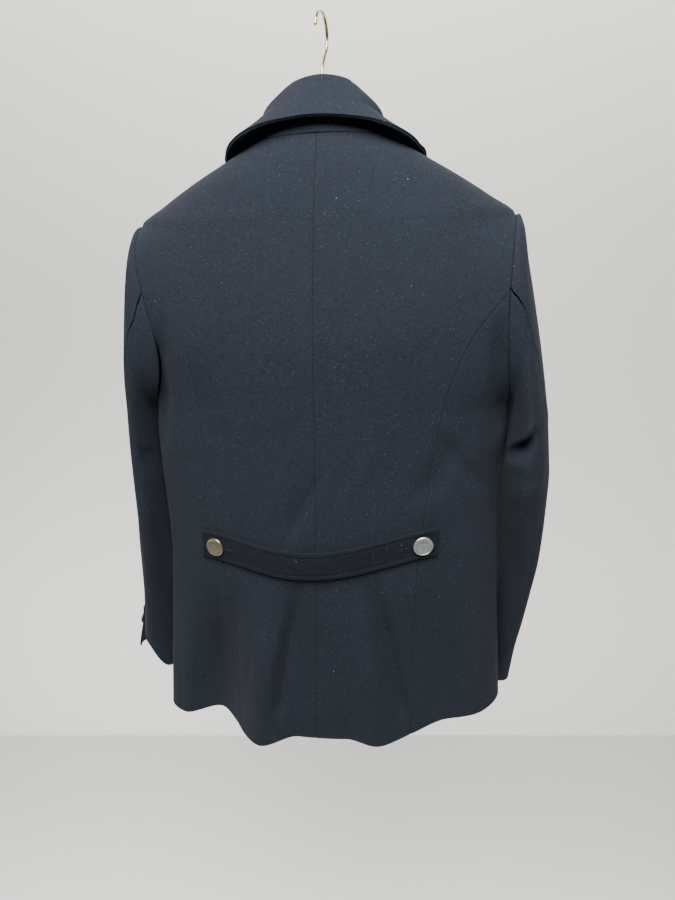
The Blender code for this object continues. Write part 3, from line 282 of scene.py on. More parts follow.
# Folds of the sleeves, for each side: ring, angle, half length in rings, half width in degrees,
# degrees turned per ring, and how far it stands out
SLEEVE_FOLDS = {
    "right": table("row angle half_row half_angle turn out", [
        (7.05, 114, 0.66, 50, 20, -0.0160),
        (8.60, 96, 0.90, 44, 20, 0.0050),
        (11.6, 120, 1.70, 30, 6, -0.0050),
    ]),
    "left": table("row angle half_row half_angle turn out", [
        (7.80, 125, 1.00, 46, 12, -0.0080),
        (9.60, 104, 1.20, 36, 10, 0.0040),
        (12.0, 118, 1.60, 30, 5, -0.0040),
    ]),
}


def smooth(t):
    """Smooth step from 0 to 1."""
    t = np.clip(t, 0.0, 1.0)
    return t * t * (3 - 2 * t)


def bump(t):
    """A soft hump: 1 in the middle, 0 beyond 1."""
    return smooth(1 - np.abs(t))


def arm_scoop(side, height):
    """How far the armhole's back edge is cut in; height is 1 at its top and -1 at its foot."""
    return ARM_SCOOP[side] * (1 - height ** 2) * (1 - ARM_SKEW[side] * height)


def armhole_x(z, left, back=False):
    """Distance of the armhole's edge from the middle, at a height."""
    share = np.clip((z - ARM_LOW) / (TIP - ARM_LOW), 0, 1)
    edge = {}
    for side, low in ARM_LOW_X.items():
        plane = low + (ARM_TOP_X[side] - low) * share
        edge[side] = plane - np.where(back, arm_scoop(side, 2 * share - 1), 0)
    return np.where(left, edge["left"], edge["right"])


def armhole_reach(z):
    """Half width of the armhole oval at a height, 0 above and below it."""
    return ARM_HALF_Y * np.sqrt(np.clip(1 - ((z - ARM_MID) / ARM_HALF) ** 2, 0, 1))


def armhole_z(reach):
    """Height of the oval's lower branch where it is this far from its middle."""
    rise = ARM_HALF * math.sqrt(max(0.0, 1 - (reach / ARM_HALF_Y) ** 2))
    return ARM_MID - rise


def ring(z, left, back):
    """Half width, side depth, reach to the back or front, and roundness of a level ring.

    Between the shoulder's end and the underarm the ring is widened so that it runs
    through the armhole oval.
    """
    power = along(BODY, "z", "round", z)
    side = np.where(left, along(BODY, "z", "side_l", z), along(BODY, "z", "side_r", z))
    wide = np.where(left, along(BODY, "z", "left", z), along(BODY, "z", "right", z))
    deep = np.where(back, along(BODY, "z", "back", z) - side, side - along(BODY, "z", "front", z))
    share = np.clip(armhole_reach(z) / deep, 0, RING_MOST)
    opened = armhole_x(z, left, back) / (1 - share ** power) ** (1 / power)
    inside = (z > ARM_LOW) & (z < TIP)
    return np.where(inside, opened, wide), side, deep, power


def fold_out(x, z):
    """How far the folds of the back stand out at a place."""
    total = np.zeros(np.broadcast(x, z).shape)
    for x_low, x_high, low, high, half, out in rows(FOLDS):
        t = np.clip((z - low) / (high - low), 0, 1)
        middle = x_low + (x_high - x_low) * t
        fade = smooth((high - z) / (FOLD_RISE * (high - low))) * smooth((z - low) / FOLD_FOOT)
        total += out * bump((x - middle) / half) * fade
    return total


# Shapes that the panels share
SHOULDER_LEVELS = (-0.185, -0.163, -0.141, NECK_SIDE)
FRONT_REACH = 0.025      # the front seam meets the armhole this far before its middle
# Roll line of a front: x at a height, for the wearer's left front
ROLL = table("z x", [
    (-0.900, -0.065), (-0.470, -0.065), (-0.440, -0.0595), (-0.380, -0.0345), (-0.305, 0.0000),
    (-0.250, 0.0260), (-0.1925, 0.0535), (-0.1500, 0.0690), (-0.1300, 0.0745),
])

# Lapels: share of the way up, height on the roll line, and x and height of the outer edge
LAPEL_LEFT = table("v roll_z edge_x edge_z", [
    (0.00, -0.440, -0.050, -0.447), (0.25, -0.380, 0.020, -0.408), (0.50, -0.318, 0.074, -0.348),
    (0.75, -0.255, 0.114, -0.286), (1.00, -0.1940, 0.142, -0.223),
])
LAPEL_RIGHT = table("v roll_z edge_x edge_z", [
    (0.00, -0.292, 0.0440, -0.382), (0.33, -0.260, 0.088, -0.331), (0.67, -0.227, 0.120, -0.275),
    (1.00, -0.1940, 0.142, -0.223),
])

# Collar: share of the way from the centre back to the front end, then x, y, z of the
# neck edge, the fold and the outer edge
COLLAR = table("u nx ny nz fx fy fz ex ey ez", [
    (0.00, 0.0000, 0.0345, -0.1158, 0.0000, 0.0085, -0.0615, 0.0000, 0.0450, -0.1018),
    (0.20, 0.0340, 0.0300, -0.1170, 0.0265, 0.0030, -0.0664, 0.0460, 0.0410, -0.1055),
    (0.40, 0.0640, 0.0130, -0.1190, 0.0417, -0.0120, -0.0902, 0.0845, 0.0290, -0.1156),
    (0.60, 0.0715, -0.0220, -0.1240, 0.0565, -0.0350, -0.1153, 0.1103, -0.0040, -0.1340),
    (0.80, 0.0620, -0.0470, -0.1490, 0.0648, -0.0570, -0.1461, 0.1161, -0.0420, -0.1690),
    (1.00, 0.0500, -0.0690, -0.1885, 0.0570, -0.0730, -0.1880, 0.1180, -0.0620, -0.1985),
])
FOLD_RADIUS = 0.0042
COLLAR_CLEAR = 0.0021    # between the collar's fall and the body
COLLAR_SHIFT = 0.0018    # the collar's fold and fall sit a little to the left
SHIFT_OVER = 0.6         # and comes to that over this share of its length
FALL_FROM, FALL_OVER = 0.15, 0.25                # from the back to the sides of the neck
# Keeping points off the body: step of its slope, rounds, share of a round's move, and most
OFF_STEP, OFF_ROUNDS, OFF_SHARE, OFF_MOST = 0.0008, 8, 0.8, 0.01

SEAM_LINE = -0.00015     # two pieces press together this far at a seam, when drawn
SHOULDER_TURN = -0.163   # the back's lines rise to the neck above this
ROLL_BACK = 0.0028       # the front's edge stops this far inside the lapel's fold
LAPEL_LONG = {"left": 0.26, "right": 0.15}   # run of a lapel along its fold
STAND_SHARE, BEND_SHARE = 0.40, 0.11     # shares of the collar's depth: stand, then fold
TOP_LAYER, GROOVE_DEEP = 0.0016, 0.0015  # of the collar's edge: its top layer, and the groove below that
COLLAR_HALF, COLLAR_DEEP = 0.135, 0.120  # run of half the collar, and its depth from neck to edge
NECK_SINK = 0.0015       # the collar's neck edge is sewn this much lower, on the back's top
SLEEVE_STEP = (0.012, 0.045)             # metres per ring at the armhole and at the cuff
THREAD_REACH = 0.0011    # of the threads beside a buttonhole, into the cloth

# Camera of the photograph
CAMERA_AT = (-0.131, 0.810, -0.188)
CAMERA_PITCH, CAMERA_LENS = 20.0, 27.04

# The cut of each cloth piece that shows: width, length and area
CUTS = {
    "back_left": (0.244, 0.775, 0.121), "back_right": (0.240, 0.775, 0.123),
    "side_left": (0.197, 0.615, 0.0775), "side_right": (0.192, 0.617, 0.0793),
    "front_left": (0.308, 0.775, 0.194), "front_right": (0.315, 0.775, 0.196),
    "lapel_left": (0.108, 0.306, 0.0236), "lapel_right": (0.107, 0.196, 0.0152),
    "collar": (0.132, 0.463, 0.0386),
    "sleeve_upper_left": (0.291, 0.656, 0.073), "sleeve_upper_right": (0.275, 0.691, 0.077),
    "sleeve_under_left": (0.283, 0.560, 0.086), "sleeve_under_right": (0.276, 0.616, 0.093),
    "half_belt": (0.317, 0.042, 0.0126),
}


# ---------------------------------------------------------------- folds that only the cloth shows

# Soft creases of the body: x and height at both ends, which half (1 back, -1 front),
# half width, and how far each stands out. Hollows are negative.
CREASES = table("x_low z_low x_high z_high half_of half out", [
    (0.105, -0.870, 0.080, -0.690, 1, 0.0130, -0.0018),
    (0.073, -0.840, 0.067, -0.635, 1, 0.0190, 0.0030),
    (0.055, -0.845, 0.022, -0.640, 1, 0.0165, -0.0082),
    (-0.028, -0.860, -0.022, -0.680, 1, 0.0200, 0.0016),
    (-0.070, -0.840, -0.052, -0.645, 1, 0.0140, 0.0026),
    (-0.114, -0.848, -0.070, -0.640, 1, 0.0200, -0.0105),
    (-0.012, -0.838, -0.084, -0.768, 1, 0.0190, 0.0014),
    (-0.158, -0.860, -0.140, -0.690, 1, 0.0180, 0.0018),
    (0.150, -0.870, 0.138, -0.660, 1, 0.0180, -0.0020),
    (0.190, -0.860, 0.176, -0.640, 1, 0.0170, 0.0018),
    (-0.205, -0.850, -0.188, -0.660, 1, 0.0180, 0.0016),
    (0.042, -0.596, -0.016, -0.476, 1, 0.0130, -0.0024),
    (0.066, -0.570, 0.020, -0.440, 1, 0.0120, 0.0012),
    (-0.030, -0.545, -0.075, -0.450, 1, 0.0140, 0.0010),
    (-0.204, -0.530, -0.138, -0.440, 1, 0.0190, -0.0028),
    (0.165, -0.500, 0.188, -0.400, 1, 0.0130, -0.0014),
    (0.205, -0.470, 0.186, -0.312, 1, 0.0200, -0.0092),
    (-0.219, -0.450, -0.203, -0.318, 1, 0.0170, -0.0078),
    (-0.190, -0.350, -0.165, -0.270, 1, 0.0120, -0.0009),
    (0.150, -0.360, 0.140, -0.265, 1, 0.0130, 0.0008),
    (0.120, -0.185, 0.040, -0.150, 1, 0.0120, -0.0006),
    (0.150, -0.860, 0.138, -0.560, -1, 0.0260, 0.0034),
    (0.190, -0.850, 0.182, -0.600, -1, 0.0220, -0.0030),
    (-0.150, -0.860, -0.130, -0.540, -1, 0.0280, 0.0036),
    (-0.200, -0.840, -0.186, -0.580, -1, 0.0230, -0.0032),
    (-0.110, -0.860, -0.098, -0.660, -1, 0.0160, -0.0017),
    (0.112, -0.855, 0.102, -0.640, -1, 0.0170, -0.0018),
    (0.160, -0.480, 0.196, -0.390, -1, 0.0150, -0.0018),
    (-0.165, -0.480, -0.200, -0.380, -1, 0.0160, -0.0019),
    (0.120, -0.560, 0.170, -0.500, -1, 0.0140, 0.0011),
])

# A crease runs past its ends by this share of its height, and fades over these at foot and head
CREASE_OVER, CREASE_FOOT, CREASE_HEAD = 0.12, 0.30, 0.45
CREASE_NECK = 0.05       # creases fade out this far below the neck

# Small unevenness of the hung cloth: waves per metre along x and z, turn, and height
WAVES = table("per_x per_z turn out", [
    (9.0, 3.1, 0.4, 0.00032), (15.0, -5.3, 1.9, 0.00020),
    (4.2, 8.7, 2.7, 0.00022), (22.0, 11.0, 0.9, 0.00009),
])

CREASE_ROWS = 2.0        # a sleeve's creases and waves fade in over these rings
SLEEVE_WAVES = ((0.9, 3, 0.00025), (1.7, -5, 0.00018))   # radians per ring, turns, and height

# Creases of the sleeves, given as the folds are
SLEEVE_CREASES = {
    "right": table("row angle half_row half_angle turn out", [
        (6.25, 92, 0.40, 30, 22, 0.0018), (6.95, 112, 0.46, 34, 24, -0.0050),
        (7.85, 96, 0.36, 34, 24, 0.0020), (8.35, 84, 0.34, 26, 26, -0.0020),
        (10.3, 66, 1.20, 15, 4, -0.0014), (12.6, 92, 1.50, 16, 3, 0.0013),
        (3.4, 84, 0.90, 16, 6, -0.0012), (6.9, 8, 0.55, 30, -16, 0.0010),
        (7.7, -34, 0.34, 34, -24, -0.0020), (8.3, -40, 0.32, 30, -24, 0.0016),
        (12.4, -10, 1.40, 17, 4, -0.0013), (4.2, -52, 0.80, 20, 8, -0.0013),
    ]),
    "left": table("row angle half_row half_angle turn out", [
        (7.80, 125, 1.00, 46, 12, 0.0052), (7.60, 132, 0.34, 26, 20, -0.0014),
        (8.60, 118, 0.34, 26, 18, 0.0008), (10.9, 62, 1.40, 15, 3, -0.0013),
        (13.0, 92, 1.30, 16, 3, 0.0010), (3.2, 74, 0.90, 16, 6, -0.0012),
        (5.4, 70, 1.10, 14, 5, 0.0009), (7.6, -30, 0.36, 34, -22, -0.0018),
        (8.25, -38, 0.34, 30, -22, 0.0014), (12.2, -14, 1.50, 16, 4, -0.0012),
        (4.6, -46, 0.90, 20, 8, -0.0011),
    ]),
}


def crease_out(x, z, back):
    """How far the small creases and waves stand out at a place of the body."""
    total = np.zeros(np.broadcast(x, z).shape)
    for x_low, low, x_high, high, half_of, half, out in rows(CREASES):
        t = (z - low) / (high - low)
        middle = x_low + (x_high - x_low) * t
        fade = smooth((t + CREASE_OVER) / CREASE_FOOT) * smooth((1 + CREASE_OVER - t) / CREASE_HEAD)
        total += np.where(back == (half_of > 0), out * bump((x - middle) / half) * fade, 0)
    for per_x, per_z, turn, out in rows(WAVES):
        total += out * np.sin(2 * math.pi * (per_x * x + per_z * z) + turn)
    return total * smooth((NECK_SIDE - z) / CREASE_NECK)


def sleeve_bumps(tab, angle, row):
    """How far the folds or creases of a table stand out at a place of a sleeve."""
    total = np.zeros(np.broadcast(angle, row).shape)
    for ring_at, angle_at, half_row, half_angle, turn, out in rows(tab):
        dr = row - ring_at
        da = (angle - angle_at - turn * dr + 180) % 360 - 180
        total += out * bump(dr / half_row) * bump(da / half_angle)
    return total


def sleeve_swell(side, angle, row):
    """How far the folds, small creases and waves of a sleeve stand out."""
    small = sleeve_bumps(SLEEVE_CREASES[side], angle, row)
    for per_row, turns, out in SLEEVE_WAVES:
        small += out * np.sin(per_row * row + np.radians(turns * angle))
    return sleeve_bumps(SLEEVE_FOLDS[side], angle, row) + small * smooth(row / CREASE_ROWS)


# ---------------------------------------------------------------- form of body and sleeves

def body_plain(phi, z):
    """Point of the body at an angle from the centre back (90 degrees is the left side)."""
    phi, z = pair(phi, z)
    phi = (phi + math.pi) % (2 * math.pi) - math.pi
    back = np.cos(phi) >= 0
    wide, side, deep, power = ring(z, phi >= 0, back)
    x = np.sign(phi) * wide * np.abs(np.sin(phi)) ** (2 / power)
    reach = np.abs(np.cos(phi)) ** (2 / power)
    out, fade = np.where(back, 1, -1), smooth(reach * FOLD_REACH)
    y = side + out * deep * reach + np.where(back, fold_out(x, z) * fade, 0)
    y = y + out * crease_out(x, z, back) * fade
    rise = HEM_RISE * smooth((-x - RISE_FROM) / RISE_WIDE) - HEM_DROP * smooth((x - DROP_FROM) / DROP_WIDE)
    return np.stack([x, y, z + LEAN * x + rise * smooth((HEM_ZONE - z) / HEM_FADE)], axis=-1)


def body(phi, z, out=0.0):
    """Body point moved out along the surface normal."""
    step_a, step_z = 0.01, 0.003
    a = body_plain(phi + step_a, z) - body_plain(phi - step_a, z)
    b = body_plain(phi, z + step_z) - body_plain(phi, z - step_z)
    normal = np.cross(b, a)
    normal /= np.linalg.norm(normal, axis=-1, keepdims=True)
    return body_plain(phi, z) + normal * np.asarray(out)[..., None]


def angle_of(x, z, back=True):
    """Angle of the body point that has this x at this height."""
    x, z = pair(x, z)
    wide, _, _, power = ring(z, x >= 0, np.full(z.shape, back))
    a = np.arcsin(np.clip(np.abs(x) / wide, 0, 1) ** (power / 2))
    return np.sign(x) * (a if back else math.pi - a)


def sleeve_plain(side, angle, row):
    """Point of a sleeve: angle in degrees from its outer line towards the back."""
    angle, row = pair(angle, row)
    get = {name: along(SLEEVES[side], "row", name, row) for name in SLEEVE_COLUMNS.split()[1:]}
    out = np.stack([get["out_x"], 0 * row, get["out_z"]], axis=-1)
    low = np.stack([get["in_x"], 0 * row, get["in_z"]], axis=-1)
    centre, arm = (out + low) / 2, (out - low) / 2
    centre[..., 1] = get["mid_y"]
    a = np.radians(angle)
    short = np.linalg.norm(arm, axis=-1, keepdims=True)
    one = arm / short
    t = np.radians(get["twist"])[..., None]
    two = np.array([0.0, 1.0, 0.0])
    e1 = one * np.cos(t) - two * np.sin(t)
    e2 = one * np.sin(t) + two * np.cos(t)
    cos, sin = np.cos(a)[..., None], np.sin(a)[..., None]
    point = centre + e1 * cos * short + e2 * sin * get["half_y"][..., None]
    point += (e1 * cos + e2 * sin) * sleeve_swell(side, angle, row)[..., None]
    scoop = np.where(np.sin(a) > 0, arm_scoop(side, np.cos(a)), 0)
    point[..., 0] -= scoop * (1 - smooth(row / SCOOP_ROWS))
    point[..., 0] *= SIGNS[side]
    point[..., 2] += LEAN * point[..., 0]
    return point


def sleeve(side, angle, row, out=0.0):
    """Sleeve point moved out along the normal; the first ring stays in its plane."""
    da, dr = 1.5, 0.04
    a = sleeve_plain(side, angle + da, row) - sleeve_plain(side, angle - da, row)
    row_up = np.minimum(row + dr, SLEEVE_ROWS)
    b = sleeve_plain(side, angle, np.maximum(row - dr, 0)) - sleeve_plain(side, angle, row_up)
    normal = np.cross(a, b) * SIGNS[side]
    normal[..., 0] *= smooth(np.asarray(row) / PLANE_ROWS)
    normal /= np.linalg.norm(normal, axis=-1, keepdims=True)
    middle = sleeve_plain(side, angle, row) - sleeve_plain(side, np.asarray(angle) + 180, row)
    normal *= np.sign(np.sum(normal * middle, axis=-1, keepdims=True))
    return sleeve_plain(side, angle, row) + normal * np.asarray(out)[..., None]


def trim(phi, z):
    """Half the gap between two pieces at a seam of the body, as an angle."""
    step = 0.01
    run = np.linalg.norm(body_plain(phi + step, z) - body_plain(phi - step, z), axis=-1)
    return SEAM_LINE * step / run


def seam_angle(sign, z, front=False):
    """Angle of a back panel's or front panel's side edge, at its own heights."""
    z = np.asarray(z, float)
    shoulder = np.full(z.shape, sign * math.pi / 2)
    arm = angle_of(sign * armhole_x(z, sign > 0, not front), z, not front)
    if front:
        low = np.full(z.shape, front_seam_angle(sign))
        return np.where(z >= TIP, shoulder, np.where(z > armhole_z(FRONT_REACH), arm, low))
    low = angle_of(sign * princess_x(sign, z), z)
    return np.where(z >= TIP, shoulder, np.where(z > JUNCTION, arm, low))


def princess_x(sign, z):
    """Distance of the curved seam from the middle; its head meets the scooped armhole."""
    side = "left" if sign > 0 else "right"
    head = armhole_x(np.asarray(JUNCTION), sign > 0, True) - PRINCESS[side][-1]
    turn = smooth((z - PRINCESS_TURN) / (JUNCTION - PRINCESS_TURN))
    return along(PRINCESS, "z", side, z) + head * turn


def front_seam_angle(sign):
    """The seam between side and front keeps the angle that it has at the armhole."""
    z = armhole_z(FRONT_REACH)
    return float(angle_of(sign * armhole_x(z, sign > 0), z, False))


def under_step(side, x, z):
    """How far inside the body surface the wearer's right front lies."""
    if side == "left":
        return np.zeros(np.broadcast(x, z).shape)
    return -UNDER_STEP * smooth((x - STEP_X) / STEP_WIDE) * smooth((STEP_Z - z) / STEP_TALL)


def on_front(side, x, z, out):
    """Point over a front at x and z, moved out."""
    phi = angle_of(x, z, False)
    return body(phi, z, under_step(side, x, z) + out)


def body_value(p):
    """Below 1 inside the body's rings, above 1 outside, for points with the lean taken off."""
    z = p[..., 2]
    left = p[..., 0] >= 0
    side = ring(z, left, p[..., 1] > 0)[1]
    wide, side, deep, power = ring(z, left, p[..., 1] >= side)
    return (np.abs(p[..., 0]) / wide) ** power + (np.abs(p[..., 1] - side) / deep) ** power


def stand_off(p, clear):
    """Move points out until they lie at least this far off the body."""
    for _ in range(OFF_ROUNDS):
        slope = np.stack([body_value(p + OFF_STEP * axis) - body_value(p - OFF_STEP * axis)
                          for axis in np.eye(3)], axis=-1) / (2 * OFF_STEP)
        size = np.linalg.norm(slope, axis=-1)
        away = (body_value(p) - 1) / size
        p = p + slope / size[..., None] * (OFF_SHARE * np.clip(clear - away, 0, OFF_MOST))[..., None]
    return p


def through_middle(tab, name, u, odd):
    """Smooth reading of a collar column, mirrored at the centre back so that no peak is left there."""
    both = {"u": np.concatenate([-tab["u"][:0:-1], tab["u"]]),
            name: np.concatenate([tab[name][:0:-1] * (-1 if odd else 1), tab[name]])}
    return along(both, "u", name, u)


def lean(points):
    """Lean of the whole garment on its hanger."""
    points = points.copy()
    points[..., 2] += LEAN * points[..., 0]
    return points


def upper_angle(side, row, share):
    """Angle across the upper sleeve, from its front seam (0) to its back edge (1)."""
    seam = along(SLEEVES[side], "row", "seam", row)
    past = np.where(row > VENT_ROW + LAP_ROWS, VENT_LAP, -seam_trim(row))
    first = FRONT_SEAM + seam_trim(row)
    return first + (seam + past - first) * share


def upper_out(side, row, share):
    """How far the upper sleeve stands off at the cuff's slit."""
    lap = smooth((row - VENT_ROW) / LAP_ROWS)
    flare = VENT_FLARE[side] * smooth((row - FLARE_FROM[side]) / FLARE_ROWS)
    return (flare + WALL + LAP_CLEAR[side]) * lap * smooth((share - LAP_FROM) / LAP_WIDE)


def seam_trim(row):
    """Half a sleeve seam's gap in degrees, wider where the seam runs slantwise."""
    return SEAM_TRIM + SLANT_TRIM * (1 - smooth(row / SLANT_ROWS))


def cuff_cut(side, row, past):
    """How many rings higher the under sleeve ends, this many degrees past its back seam."""
    lift = CUFF_CUT[side] * smooth((row - SLEEVE_ROWS + CUT_ROWS) / CUT_ROWS)
    return lift * (1 - smooth((past - CUT_FROM) / CUT_SPAN))


def belt_line(x):
    """Height of the half belt's middle at x, before the lean."""
    r = np.clip(np.abs(x - BELT_LOW_X) / (BELT_HALF - BELT_LOW_X * np.sign(x - BELT_LOW_X)), 0, 1)
    return BELT_Z + BELT_SLOPE * x - BELT_SAG * (1 - smooth(r ** BELT_CURVE))


def belt_off(x):
    """How far the half belt's inner face stands off the back."""
    return LAY_GAP + BELT_OFF * (1 - smooth(np.abs(x) / (BELT_REACH * BELT_HALF)))


def on_back(x, z, out):
    """Point over the back at x and z, moved out."""
    return body(angle_of(x, z), z, out)


def facing(place, a, b):
    """Points and outward directions at places (a, b) of a function of a, b and out."""
    low, high = (place(a, b, np.full(np.shape(a), out)) for out in (0.0, 0.001))
    return low, (high - low) / np.linalg.norm(high - low, axis=-1, keepdims=True)


def on_cuff(side):
    """Points over an upper sleeve, as a function of share, row and out."""
    def place(share, row, out):
        return sleeve(side, upper_angle(side, row, share), row, upper_out(side, row, share) + out)
    return place


# ---------------------------------------------------------------- edges and walls of cloth

EDGE_INSETS = np.array([0.0, 0.00008, 0.0003, 0.00065, 0.00107, 0.00145, 0.0020, 0.0028])
SEAM_DEEP, SEAM_WIDE = 0.00150, 0.0019   # how far and over what width the cloth turns in at a seam
SEAM_SHADE, WORN_WIDE = 0.0015, 0.0030   # reach of the painted shade in a seam's groove, and of a free edge's wear
CLOTH_STEP, LEVEL_STEP, COLLAR_STEP = 0.0042, 0.0048, 0.0040     # from line to line of the meshes
FINE_SHARES = 201                        # shares at which the width of a piece is measured
WELD = 2e-6


class Edge:
    """One edge of a piece: the lines beside it, how far each is inset, and what its two faces lose."""

    def __init__(self, inset, drop, lift):
        self.inset, self.drop, self.lift = inset, drop, lift

    def mixed(self, other, share):
        """This edge where share is 0 and the other where it is 1, line by line of the piece."""
        share = np.asarray(share)[:, None]
        return Edge(self.inset, self.drop + (other.drop - self.drop) * share,
                    self.lift + (other.lift - self.lift) * share)


def round_drop(inset, wall):
    """What a face loses beside a rounded edge."""
    half = wall / 2
    return half - np.sqrt(half ** 2 - (half - np.minimum(inset, half)) ** 2)


def free_edge(wall=WALL):
    """A folded, rounded edge: hem, cuff, front edge."""
    inset = EDGE_INSETS * wall / WALL
    loss = round_drop(inset, wall)
    return Edge(inset, loss, loss)


def sewn_edge():
    """An edge that is sewn to its neighbour: the outer face turns in."""
    share = np.minimum(EDGE_INSETS / SEAM_WIDE, 1)
    return Edge(EDGE_INSETS, SEAM_DEEP * (1 - np.sqrt(1 - (1 - share) ** 2)), 0 * EDGE_INSETS)


def line_up(start, end, per_metre, first, last, pitch):
    """Values of a running number for the lines of a piece, close together at both edges."""
    a = start + first.inset * per_metre
    b = end - last.inset[::-1] * per_metre
    count = max(2, int(round(abs(b[0] - a[-1]) / abs(per_metre) / pitch)) + 1)
    return np.concatenate([a, np.linspace(a[-1], b[0], count)[1:-1], b])


def run_along(points, axis):
    """Distance along the lines of a grid of points, from their first points."""
    step = np.linalg.norm(np.diff(points, axis=axis), axis=-1)
    return np.concatenate([0 * np.take(step, [0], axis=axis), np.cumsum(step, axis=axis)], axis=axis)


def across(place, v, first, last, pitch=CLOTH_STEP):
    """Shares across a piece for its columns: set insets at both edges and even steps between."""
    fine = np.linspace(0, 1, FINE_SHARES)
    run = run_along(place(fine[None, :], v[:, None], 0.0), 1)
    width = run[:, -1]
    count = max(3, int(round((width.max() - first.inset[-1] - last.inset[-1]) / pitch)) + 1)
    share = []
    for line, end in zip(run, width):
        middle = np.linspace(first.inset[-1], end - last.inset[-1], count)[1:-1]
        share.append(np.interp(np.concatenate([first.inset, middle, end - last.inset[::-1]]), line, fine))
    return np.array(share), run


def edge_losses(first, last, rows, columns):
    """Losses of the outer and inner face beside both edges, which may change from line to line."""
    drop, lift = np.zeros((rows, columns)), np.zeros((rows, columns))
    if first:
        drop[:, :len(first.inset)] += first.drop
        lift[:, :len(first.inset)] += first.lift
    drop[:, -len(last.inset):] += last.drop[..., ::-1]
    lift[:, -len(last.inset):] += last.lift[..., ::-1]
    return drop, lift


def edge_wear_and_seam_shade(points, free):
    """1 on a free edge, fading to 0 over some millimetres, for wear; below 0 beside a sewn one, for painted
    shade in the seam's groove.
    """
    near = np.zeros(points.shape[:2])
    run, rise = run_along(points, 1), run_along(points, 0)
    gaps = {"left": run, "right": run[:, -1:] - run, "foot": rise, "head": rise[-1:] - rise}
    for name, gap in gaps.items():
        if name in free:
            near = np.maximum(near, np.exp(-(gap / WORN_WIDE) ** 2))
        elif name + "_low" not in free:
            # painted shade: values below 0 beside a sewn edge darken the cloth, standing for the shade in
            # the seam's groove
            painted_shade = np.minimum(near, -np.exp(-(gap / SEAM_SHADE) ** 2))
            near = np.where(gap < SEAM_SHADE * 3, painted_shade, near)
    return near


def new_mesh(name, points, faces):
    """A mesh of points and faces."""
    mesh = bpy.data.meshes.new(name)
    mesh.from_pydata(np.asarray(points, dtype=float).tolist(), [], faces)
    return mesh


def wall_mesh(name, outer, inner, near, material=None):
    """Closed wall between two grids of points; points that coincide at a folded edge are welded."""
    rows, columns = outer.shape[:2]
    half = rows * columns
    j, i = np.meshgrid(np.arange(rows - 1), np.arange(columns - 1), indexing="ij")
    a = (j * columns + i).ravel()
    front = np.stack([a, a + 1, a + columns + 1, a + columns], axis=-1)
    places = np.arange(half).reshape(rows, columns)
    rim = np.concatenate([places[0], places[1:, -1], places[-1, -2::-1], places[-2:0:-1, 0]])
    after = np.roll(rim, -1)
    side = np.stack([after, rim, rim + half, after + half], axis=-1)
    mesh = new_mesh(name, np.concatenate([outer.reshape(-1, 3), inner.reshape(-1, 3)]),
                    np.concatenate([front, front[:, ::-1] + half, side]).tolist())
    # the edge value: wear on free edges, and painted shade beside seams
    layer = mesh.attributes.new("edge", "FLOAT", "POINT")
    layer.data.foreach_set("value", np.concatenate([near.ravel(), near.ravel()]).astype(np.float32))
    return closed_piece(name, mesh, [material or melton()])


def closed_piece(name, mesh, materials, sharp=70, picks=None):
    """Turn faces outwards, shade smooth, and link a piece that rides on the one body.

    Points that coincide are welded and steep edges kept sharp, apart from threads, where sharp is None.
    """
    bm = bmesh.new()
    bm.from_mesh(mesh)
    if sharp:
        bmesh.ops.remove_doubles(bm, verts=bm.verts, dist=WELD)
        bmesh.ops.dissolve_degenerate(bm, dist=1e-7, edges=bm.edges)
    bmesh.ops.recalc_face_normals(bm, faces=bm.faces)
    bm.to_mesh(mesh)
    bm.free()
    for one in materials:
        mesh.materials.append(one)
    if picks is not None:
        mesh.polygons.foreach_set("material_index", picks)
    mesh.shade_smooth()
    if sharp:
        mesh.set_sharp_from_angle(angle=math.radians(sharp))
    piece = linked(name, mesh)
    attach(piece, "root")
    return piece


def linked(name, data):
    """A new object in the scene."""
    made = bpy.data.objects.new(name, data)
    bpy.context.scene.collection.objects.link(made)
    return made


def sewn_cloth(name, place, v, foot, head, first, last, free):
    """A cloth piece from place(share, v, out): two faces a wall apart, with its four edges."""
    share, _ = across(place, v, first, last)
    level = np.broadcast_to(v[:, None], share.shape)
    drop, lift = edge_losses(first, last, *share.shape)
    row_drop, row_lift = (loss.T for loss in edge_losses(foot, head, 1, len(v)))
    top = np.maximum(-(drop + row_drop), -WALL / 2)
    under = np.minimum(-WALL + lift + row_lift, -WALL / 2)
    return wall_mesh(name, place(share, level, top), place(share, level, under),
                     edge_wear_and_seam_shade(place(share, level, 0.0), free))


# ---------------------------------------------------------------- body panels

SIDE_SHORT = 0.06                        # the side panel's lines are this much shorter than its back edge
ROLL_FOOT, ROLL_FADE = -0.470, 0.03      # above this a front's edge stops short of its lapel's fold
CLOSE = 1e-9


def back_place(sign):
    """Half of the back as a function of share, level and out."""
    def place(share, level, out):
        share, level = pair(share, level)
        lift = smooth((level - SHOULDER_TURN) / (NECK_SIDE - SHOULDER_TURN))
        z = level + lift * (NECK_BACK - NECK_SIDE) * (1 - share ** 2)
        middle = angle_of(sign * SEAM_LINE / 2, z)
        edge = seam_angle(sign, level)
        edge = edge - sign * trim(edge, z)
        top = SEAM_LINE * (level >= NECK_SIDE - CLOSE)
        return body(middle + (edge - middle) * share, z - top, out)
    return place


